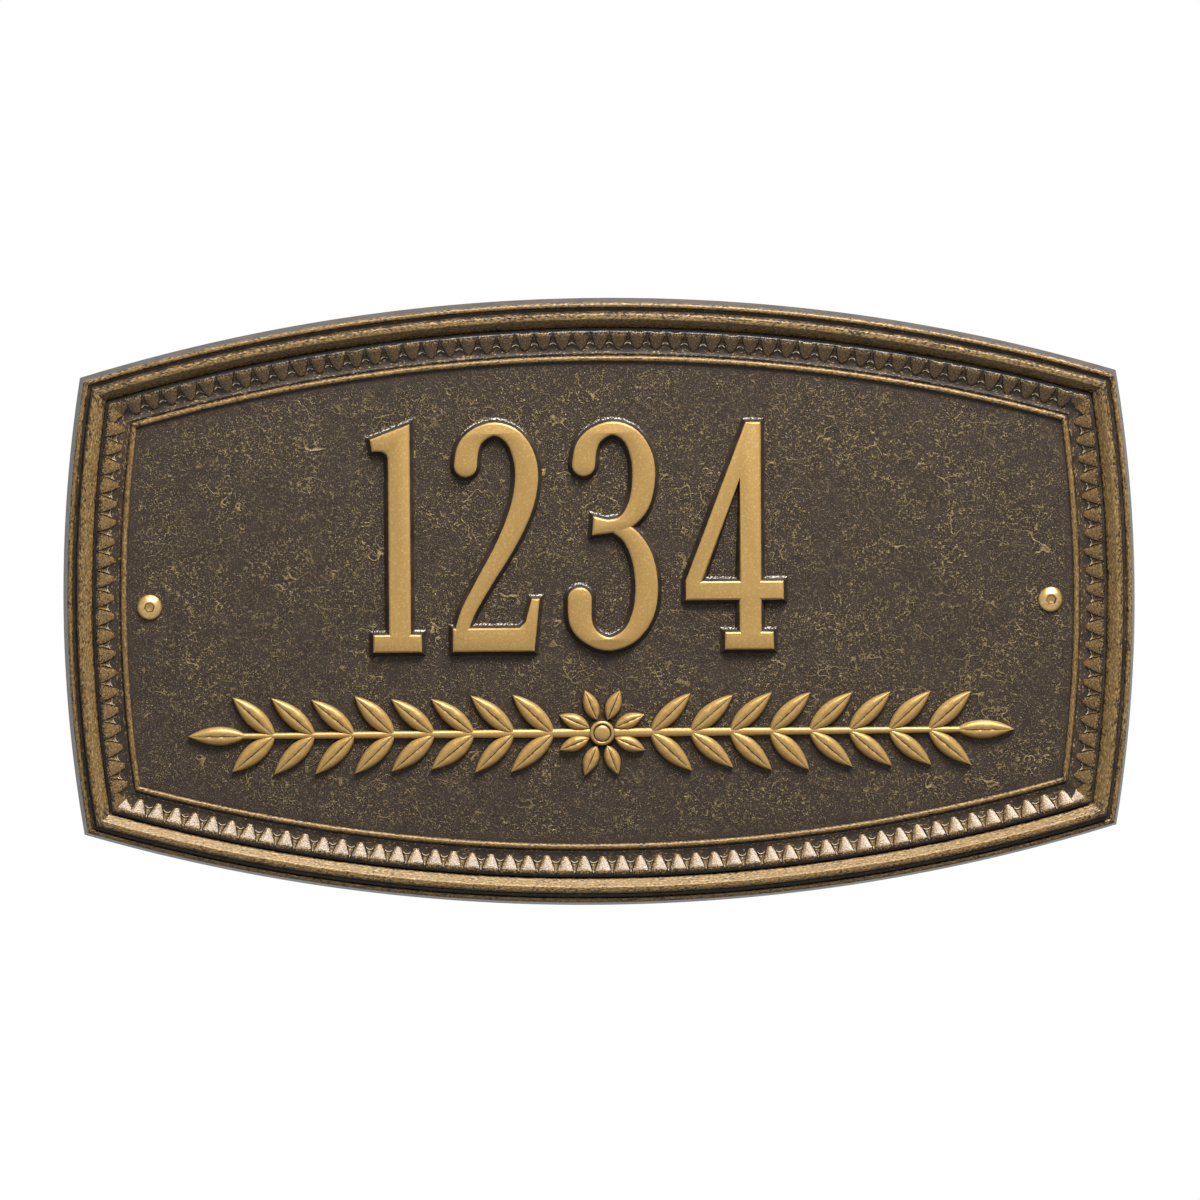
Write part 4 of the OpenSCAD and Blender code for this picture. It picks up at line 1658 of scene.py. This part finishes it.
@dataclass
class LaurelSpray(PlaquePart):
    """Two stems of laurel leaves on both sides of a small rosette.

    Attributes:
        z: Height of the stems, from the screws.
        stem_end: Distance from the middle to a stem's end.
        stem_width: Width of a stem.
        pairs: Leaf pairs on each stem.
        pair_lead: Place of the first pair, as a share of the step from pair to pair.
        bare_stem: Length of stem between the petals' roots and the first pair.
        leaf_length: Length of a leaf.
        leaf_width: Width of a leaf.
        leaf_angle: Angle between leaf and stem, in degrees.
        leaf_back: How far a leaf's root lies behind the point about which it turns.
        tip_back: How far the end leaf's point lies inside the stem's end.
        heart: Radius of the rosette's heart.
        petals: Number of petals.
        petal_gap: Gap between the heart and the petals.
        petal_shift: Distance from the heart's edge to a petal's root.
        petal_length: Length of a petal.
        petal_width: Width of a petal.
        rise: Height above the field.
    """

    z: float = -48.4
    stem_end: float = 136.0
    stem_width: float = 2.6
    pairs: int = 8
    pair_lead: float = 0.1
    bare_stem: float = 11.5
    leaf_length: float = 22.0
    leaf_width: float = 8.0
    leaf_angle: float = 42.0
    leaf_back: float = 1.4
    tip_back: float = 2.6
    heart: float = 4.2
    petals: int = 8
    petal_gap: float = 1.6
    petal_shift: float = 0.9
    petal_length: float = 12.2
    petal_width: float = 6.4
    rise: float = 3.2

    def form_leaf(self, name: str, length: float, width: float, shift: float) -> Piece:
        """Make one pointed leaf or petal, with a sunk midrib and two rounded halves.

        Args:
            name: Name of the form.
            length: Its length.
            width: Its width.
            shift: Distance from the point about which it turns to its root.

        Returns:
            The form.
        """
        field, rise = self.form.field, self.rise

        def surface(aside: float, along: float) -> tuple[float, float, float, float]:
            """Give a point of the leaf.

            Args:
                aside: From -1 to 1 across the leaf.
                along: From 0 at the root to 1 at the tip.

            Returns:
                Its x, z, rise and rub.
            """
            # The leaf is widest and highest a little past its middle; rib and veins fade with it
            swell = math.sin(math.pi * along**0.92) ** 0.8 if 0 < along < 1 else 0.0
            half = width / 2 * swell
            fall = 1 - abs(aside) ** 2.6
            rib = 0.55 * math.exp(-((aside / 0.13) ** 2)) * swell
            top = field + 0.2 + (rise - 0.35) * fall**0.6 * (0.55 + 0.45 * swell) - rib
            ripple = math.cos(26 * (along + 0.12 * abs(aside)))
            veins = 0.12 * ripple * fall * (1 - abs(aside) ** 8)
            rub = 0.95 * min(1.0, fall * 1.6) * (1 - 0.8 * math.exp(-((aside / 0.12) ** 2)))
            return along * length + shift, aside * half, top + veins * swell, rub

        return grid_solid(name, 10, 14, surface, self.form.sunk)

    def build(self, tree: Tree, material: Material) -> list[Piece]:
        """Build the leaves, the stems and the rosette.

        Args:
            tree: The tree that lays leaves along a stem or round a heart.
            material: Finish of the leaves.

        Returns:
            The pieces.
        """
        reach = self.heart + self.petal_gap + self.bare_stem
        step = (self.stem_end - reach) / self.pairs
        leaf = self.form_leaf("leaf", self.leaf_length, self.leaf_width, -self.leaf_back)
        petal = self.form_leaf(
            "petal", self.petal_length, self.petal_width, self.heart + self.petal_shift
        )
        pieces = []
        for side, name in ((1, "right"), (-1, "left")):
            host = make_piece(f"laurel_{name}", [(0, 0, 0)], [])
            facing = 0.0 if side > 0 else math.pi
            for lean in (-1, 1):
                start = (reach + self.pair_lead * step, side * lean * self.stem_width / 4)
                values = {
                    "Form": leaf,
                    "Count": self.pairs,
                    "Start": (side * start[0] * MM, 0.0, (self.z + start[1]) * MM),
                    "Step": (side * step * MM, 0.0, 0.0),
                    "First Angle": facing - lean * math.radians(self.leaf_angle),
                    "Angle Step": 0.0,
                    "Unevenness": 0.05,
                    "Seed": 11 + lean + 3 * side,
                    "Finish": material,
                }
                add_modifier(host, tree, values)
            tip = {
                "Form": leaf,
                "Count": 1,
                "Start": (side * (self.stem_end - self.tip_back) * MM, 0.0, self.z * MM),
                "Step": (0.0, 0.0, 0.0),
                "First Angle": facing,
                "Angle Step": 0.0,
                "Unevenness": 0.0,
                "Seed": 1,
                "Finish": material,
            }
            add_modifier(host, tree, tip)
            pieces += [bake(host), self.stem(side, name)]
        host = make_piece("rosette_petals", [(0, 0, 0)], [])
        values = {
            "Form": petal,
            "Count": self.petals,
            "Start": (0.0, 0.0, self.z * MM),
            "Step": (0.0, 0.0, 0.0),
            "First Angle": math.pi / self.petals,
            "Angle Step": 2 * math.pi / self.petals,
            "Unevenness": 0.03,
            "Seed": 5,
            "Finish": material,
        }
        add_modifier(host, tree, values)
        return [*pieces, bake(host, [leaf, petal]), self.heart_dome()]

    def stem(self, side: int, name: str) -> Piece:
        """Build one stem, round on top and thinner towards its end.

        Args:
            side: -1 for the left stem and 1 for the right one.
            name: left or right.

        Returns:
            The piece.
        """
        count, turns = 40, 14
        spots, rubs, faces = [], [], []
        for i in range(count + 1):
            share = i / count
            x = side * (self.heart / 2 + (self.stem_end - self.heart / 2) * share)
            half = (self.stem_width / 2 + 0.9) * (1 - 0.35 * share)
            for j in range(turns + 1):
                a = math.pi * j / turns
                top = self.form.field - 0.3 + (self.rise - 0.7) * math.sin(a) ** 0.8
                spots.append(place(x, self.z + half * math.cos(a), top))
                rubs.append(0.9 * math.sin(a) ** 2)
        wide = turns + 1
        for i in range(count):
            for j in range(wide):
                a, b = i * wide + j, i * wide + (j + 1) % wide
                faces.append((a, b, b + wide, a + wide))
        faces.append(tuple(range(wide)))
        faces.append(tuple(count * wide + j for j in range(wide)))
        return make_piece(f"stem_{name}", spots, faces, {"rub": rubs}, 70)

    def heart_dome(self) -> Piece:
        """Build the rosette's domed heart, ringed by a groove.

        Returns:
            The piece.
        """
        maker, heart, field = SolidMaker(), self.heart, self.form.field
        top = field + self.rise
        # Radius, height and rub: outer wall, ring, groove, and the dome inside it
        rows = [
            (heart + 1.5, self.form.sunk, 0.0), (heart + 1.4, field + 0.1, 0.0),
            (heart + 0.5, top - 1.0, 0.2), (heart, top - 0.5, 0.7), (heart - 0.5, top - 0.4, 0.9),
            (heart - 0.9, top - 0.8, 0.1), (heart - 1.2, top - 0.8, 0.1),
            (heart - 1.6, top - 0.4, 0.8), (heart - 2.4, top - 0.1, 1.0), (0.5, top, 1.0),
        ]
        rings = [maker.ring(circle(0, self.z, r), rise, rub) for r, rise, rub in rows]
        maker.walls(rings)
        maker.cap(rings[-1])
        maker.cap(rings[0], up=False)
        return maker.make("rosette_heart", 50)


def row_tree() -> Tree:
    """Build the tree that lays copies in a row, each turned a step further, a little uneven.

    Returns:
        The tree.
    """
    kinds = {
        "Form": "Object",
        "Count": "Int",
        "Start": "Vector",
        "Step": "Vector",
        "First Angle": "Float",
        "Angle Step": "Float",
        "Unevenness": "Float",
        "Seed": "Int",
    }
    tree, start = new_tree("copies_in_row", kinds)
    node, get = partial(add_node, tree), start.outputs
    row = {"Count": get["Count"], "Start Location": get["Start"], "Offset": get["Step"]}
    points = node("GeometryNodeMeshLine", row)
    index = node("GeometryNodeInputIndex")
    uneven = node("FunctionNodeRandomValue", {2: -1.0, 3: 1.0, "Seed": get["Seed"]}).outputs[1]
    jitter = node("ShaderNodeMath", {0: uneven, 1: get["Unevenness"]}, operation="MULTIPLY")
    steps = node("ShaderNodeMath", {0: index, 1: get["Angle Step"]}, operation="MULTIPLY")
    turn = node("ShaderNodeMath", {0: steps, 1: get["First Angle"]}, operation="ADD")
    spin = node("ShaderNodeMath", {0: turn, 1: jitter}, operation="ADD")
    stray = node("ShaderNodeMath", {0: jitter, 1: 0.0}, operation="ABSOLUTE")
    scale = {
        "X": node("ShaderNodeMath", {0: 1.0, 1: stray}, operation="SUBTRACT"),
        "Y": 1.0,
        "Z": node("ShaderNodeMath", {0: 1.0, 1: jitter}, operation="ADD"),
    }
    lay_copies(tree, start, points, spin, node("ShaderNodeCombineXYZ", scale))
    return tree


# ---------------------------------------------------------------- wall screws


@dataclass
class WallScrew(PlaquePart):
    """Dome-headed brass wood screw with a hexagon socket.

    Attributes:
        node: The CAD node that both screws stand for.
        slot: The record's material slot; not used.
        gap: Distance from screw to screw.
        head_radius: Radius of the head.
        head_rise: Height of the head.
        skirt: Height of the head's upright edge.
        neck_radius: Radius of the plain neck.
        root_radius: Radius of the shank at the thread's root.
        length: Length under the head.
        point: Length of the point.
        socket: Size of the socket across its flats.
        socket_depth: Depth of the socket.
        socket_turn: Turn of the socket, in degrees.
        pitch: Pitch of the thread.
        thread_radius: Radius over the thread.
        tooth: Height of the thread.
        thread_start: Depth behind the wall plane at which the thread starts.
        steps: Points of a ring.
    """

    node: str = "wall_screws"
    slot: str = "brass"
    gap: float = 336.0
    head_radius: float = 4.7
    head_rise: float = 2.8
    skirt: float = 0.6
    neck_radius: float = 2.05
    root_radius: float = 1.7
    length: float = 32.0
    point: float = 6.0
    socket: float = 3.4
    socket_depth: float = 1.7
    socket_turn: float = 50.0
    pitch: float = 2.1
    thread_radius: float = 2.4
    tooth: float = 0.45
    thread_start: float = 0.8
    steps: int = 96

    def hexagon(self, x: float, across_flats: float) -> Loop:
        """Give a hexagon round the axis, one corner pointing down to the right.

        Args:
            x: Place of the axis.
            across_flats: Size of the hexagon.

        Returns:
            Its points, as many as a ring's.
        """
        loop = []
        for i in range(self.steps):
            a = 2 * math.pi * i / self.steps
            local = (a + math.radians(self.socket_turn)) % (math.pi / 3) - math.pi / 6
            r = across_flats / 2 / math.cos(local)
            loop.append((x + r * math.cos(a), r * math.sin(a)))
        return loop

    def dome(self, radius: float) -> float:
        """Give the height of the dome at a radius."""
        big = PanelForm.arc_radius(self.head_radius, self.head_rise - self.skirt)
        return self.form.field + self.head_rise - big + math.sqrt(big**2 - radius**2)

    def build(self, side: int, name: str, tree: Tree, material: Material) -> Piece:
        """Build one screw with its thread.

        Args:
            side: -1 for the left screw and 1 for the right one.
            name: Name of the piece.
            tree: The tree that cuts the thread.
            material: Its finish.

        Returns:
            The piece.
        """
        x, field, maker = side * self.gap / 2, self.form.field, SolidMaker()
        floor = field + self.head_rise - self.socket_depth
        corner = self.socket / math.sqrt(3)
        brim = self.dome(corner)
        shank_end = field - self.length + self.point
        first, dome_steps = corner + 0.25, 14
        radii = [
            first + (self.head_radius - first) * i / dome_steps for i in range(1, dome_steps + 1)
        ]
        # Radius or size across flats, height and painted shade, from the socket's floor to its
        # brim
        rings = [maker.ring(circle(x, 0, 0.15, self.steps), floor - 0.5, foot=0.3)]
        for size, rise, socket_shade in (
            (self.socket - 0.9, floor, 0.35),
            (self.socket, floor + 0.1, 1.0),
            (self.socket, brim - 0.3, 1.0),
            (self.socket + 0.06, brim - 0.06, 0.9),
            (self.socket + 0.26, brim, 0.0),
        ):
            rings.append(maker.ring(self.hexagon(x, size), rise, foot=socket_shade))
        # Radius and height, from the dome round the head, down the neck and shank to the point
        for radius, rise in (
            *((r - 0.02, self.dome(min(r, self.head_radius))) for r in radii),
            (self.head_radius - 0.12, field),
            (self.neck_radius, field),
            (self.neck_radius, 0.2),
            (self.root_radius, -0.6),
            (self.root_radius, shank_end),
            (0.12, shank_end - self.point + 0.1),
        ):
            rings.append(maker.ring(circle(x, 0, radius, self.steps), rise))
        maker.walls(rings)
        maker.cap(rings[0])
        maker.cap(rings[-1], up=False)
        host = maker.make(name, 35)
        host.data.materials.append(material)
        depth = -shank_end - self.thread_start
        values = {
            "Start": (x * MM, self.thread_start * MM, 0.0),
            "Depth": depth * MM,
            "Turns": depth / self.pitch,
            "Radius": (self.thread_radius - self.tooth) * MM,
            "Tooth": self.tooth * MM,
            "Finish": material,
        }
        add_modifier(host, tree, values)
        return bake(host)


def thread_tree() -> Tree:
    """Build the tree that winds a screw's thread: a helix with a pointed section.

    Returns:
        The tree.
    """
    kinds = {
        "Start": "Vector",
        "Depth": "Float",
        "Turns": "Float",
        "Radius": "Float",
        "Tooth": "Float",
    }
    tree, start = new_tree("screw_thread", kinds)
    node, get = partial(add_node, tree), start.outputs
    helix = {
        "Resolution": 24,
        "Rotations": get["Turns"],
        "Start Radius": get["Radius"],
        "End Radius": get["Radius"],
        "Height": get["Depth"],
    }
    sweep = {
        0: node("GeometryNodeCurveSpiral", helix),
        1: node("GeometryNodeCurvePrimitiveCircle", {"Resolution": 4, "Radius": get["Tooth"]}),
        "Fill Caps": True,
    }
    into_wall = {
        "Geometry": node("GeometryNodeCurveToMesh", sweep),
        "Translation": get["Start"],
        "Rotation": Euler((-math.pi / 2, 0.0, 0.0)),
    }
    close_tree(tree, start, node("GeometryNodeTransform", into_wall))
    return tree


# ---------------------------------------------------------------- studio


@dataclass(frozen=True)
class Studio:
    """Pale floor, white surroundings, a soft lamp and the camera of the photograph.

    Attributes:
        frame_mm: Width of what the camera sees at the object.
        distance: Distance of the camera, in metres.
        elevation: Elevation of the camera, in degrees.
        azimuth: Its azimuth, in degrees.
        roll: Its roll, in degrees.
        aim: The point at which it looks, in metres.
        sensor: Width of its sensor, in millimetres.
        white: Colour of the surroundings.
        paper: Colour of the floor.
        fill: Strength of the light from all round.
        floor_size: Half the floor's width, in metres.
        floor_level: Its height, in metres.
        lamp_at: Place of the lamp, in metres.
        lamp_size: Its width and depth, in metres.
        lamp_power: Its power, in watts.
    """

    frame_mm: float = 446.9
    distance: float = 3.0
    elevation: float = 4.0
    azimuth: float = -2.5
    roll: float = 0.335
    aim: Spot = (-0.00044, -0.005, 0.00115)
    sensor: float = 36.0
    white: str = "ffffff"
    paper: str = "b4b4b4"
    fill: float = 0.07
    floor_size: float = 12.0
    floor_level: float = -1.6
    lamp_at: Spot = (0.3, -0.74, 1.22)
    lamp_size: Point = (1.05, 0.46)
    lamp_power: float = 46.0

    def build(self) -> None:
        """Set up everything round the object."""
        bpy.context.scene.view_settings.view_transform = "Standard"
        self.world()
        self.floor()
        self.lamp()
        bpy.context.scene.camera = self.camera()

    def show_white(self, tree: Tree) -> Node:
        """Tell whether a ray shows the background: seen directly, mirrored or through glass.

        Args:
            tree: Tree of the floor or of the world.

        Returns:
            1 for such a ray and 0 for any other.
        """
        path = add_node(tree, "ShaderNodeLightPath").outputs
        rays = {0: path["Is Camera Ray"], 1: path["Is Glossy Ray"]}
        seen = add_node(tree, "ShaderNodeMath", rays, operation="ADD")
        rays = {0: seen, 1: path["Is Transmission Ray"]}
        return add_node(tree, "ShaderNodeMath", rays, operation="ADD", use_clamp=True)

    def world(self) -> None:
        """Light the object softly from all round, and show white behind it."""
        world = bpy.data.worlds.new("surroundings")
        bpy.context.scene.world = world
        tree = start_tree(world)
        share = {0: self.show_white(tree), 1: 1.0 - self.fill, 2: self.fill}
        strength = add_node(tree, "ShaderNodeMath", share, operation="MULTIPLY_ADD")
        glow = {"Color": linear_rgb(self.white), "Strength": strength}
        light = add_node(tree, "ShaderNodeBackground", glow)
        add_node(tree, "ShaderNodeOutputWorld", {"Surface": light})

    def floor(self) -> None:
        """Lay the pale floor below the object, a sweep of white paper."""
        size, level = self.floor_size, self.floor_level
        corners = [(x, y, level) for x, y in ((-size, -size), (size, -size), (size, size),
                                              (-size, size))]
        mesh = bpy.data.meshes.new("floor")
        mesh.from_pydata(corners, [], [(0, 1, 2, 3)])
        floor = bpy.data.objects.new("floor", mesh)
        bpy.context.scene.collection.objects.link(floor)
        material = bpy.data.materials.new("white_paper_sweep")
        tree = start_tree(material)
        glow = {"Color": linear_rgb(self.white), "Strength": 1.0}
        both = {
            0: self.show_white(tree),
            1: add_node(tree, "ShaderNodeBsdfDiffuse", {"Color": linear_rgb(self.paper)}),
            2: add_node(tree, "ShaderNodeEmission", glow),
        }
        mixed = add_node(tree, "ShaderNodeMixShader", both)
        add_node(tree, "ShaderNodeOutputMaterial", {"Surface": mixed})
        mesh.materials.append(material)

    def lamp(self) -> None:
        """Hang the soft lamp overhead, so that it looks at the panel."""
        data = bpy.data.lights.new("overhead", "AREA")
        data.shape = "RECTANGLE"
        data.size, data.size_y = self.lamp_size
        data.energy = self.lamp_power
        lamp = bpy.data.objects.new("overhead", data)
        lamp.location = self.lamp_at
        lamp.rotation_euler = (-Vector(self.lamp_at)).to_track_quat("-Z", "Y").to_euler()
        bpy.context.scene.collection.objects.link(lamp)

    def camera(self) -> Piece:
        """Place the camera at the photograph's angle.

        Returns:
            The camera.
        """
        data = bpy.data.cameras.new("camera")
        data.sensor_width = self.sensor
        data.lens = self.sensor * self.distance / (self.frame_mm * MM)
        data.clip_end = 60.0
        camera = bpy.data.objects.new("camera", data)
        up, side = math.radians(self.elevation), math.radians(self.azimuth)
        level = math.cos(up)
        away = Vector((level * math.sin(side), -level * math.cos(side), math.sin(up)))
        camera.location = Vector(self.aim) + away * self.distance
        look = (-away).to_track_quat("-Z", "Y").to_matrix()
        tilt = Euler((0.0, 0.0, math.radians(-self.roll))).to_matrix()
        camera.rotation_euler = (look @ tilt).to_euler()
        bpy.context.scene.collection.objects.link(camera)
        return camera


def main() -> None:
    """Build every piece of the plaque, dress it and set up the studio."""
    logging.basicConfig(level=logging.INFO, format="%(message)s")
    form = PanelForm()
    Studio().build()
    # Bronze paint over the cast crackle: a dull dark field with flecks of gold
    field_paint = CrackleFinish(
        "bronze_painted_cast_field", dark="392d24", deep="2b2018", gold="8f7850", pale="e2cb9c",
        bump_mm=0.3, grain_mm=0.5, metal=0.08, shine=0.26, rough=0.4,
    ).make()
    # Gold wax drawn along the moulding by a rag: a streaky, broken gold over brown
    moulding = AntiqueFinish(
        "gold_rubbed_cast_moulding", broken=3.8, metal=0.14, rough=0.33, gold="7c6137",
        pale="b29566", brushed=True,
    ).make()
    # Gold wax on small carved forms: mottled, with bright edges under a tighter sheen
    carving = AntiqueFinish(
        "gold_rubbed_cast_leaves", metal=0.05, shine=0.36, rough=0.24, broken=3.6, bump_mm=0.08,
        dark="2e251c", deep="1f1812", gold="6e542c", pale="a08352",
    ).make()
    # Gold paint rolled on flat tops: an even satin gold, with painted glints where walls face up
    gilt = AntiqueFinish(
        "gilt_cast_faces", gold="ae8a50", pale="bd9d62", broken=0.5, uneven=0.25, gain=1.3,
        grain_mm=0.8, bump_mm=0.04, metal=0.3, with_painted_glints=True,
    ).make()
    brass = BrassFinish("polished_lacquered_brass").make()

    plate, border, leaves = FieldPlate(form), MouldedBorder(form), LeafBand(form)
    numerals, spray, screw = Numerals(form), LaurelSpray(form), WallScrew(form)
    pieces = [plate.dress(plate.build(), field_paint)]
    along_arc = arc_tree()
    for edge in Edge:
        pieces.append(border.dress(border.build(edge), moulding))
        pieces.append(leaves.dress(leaves.build(edge, along_arc, carving), carving))
    pieces += [numerals.dress(piece, gilt) for piece in numerals.build()]
    pieces += [spray.dress(piece, gilt) for piece in spray.build(row_tree(), gilt)]
    thread = thread_tree()
    for side, name in ((-1, "screw_left"), (1, "screw_right")):
        pieces.append(screw.dress(screw.build(side, name, thread, brass), brass))
    for piece in pieces:
        LOG.info("%s: %d faces", piece.name, len(piece.data.polygons))


if __name__ == "__main__":
    main()
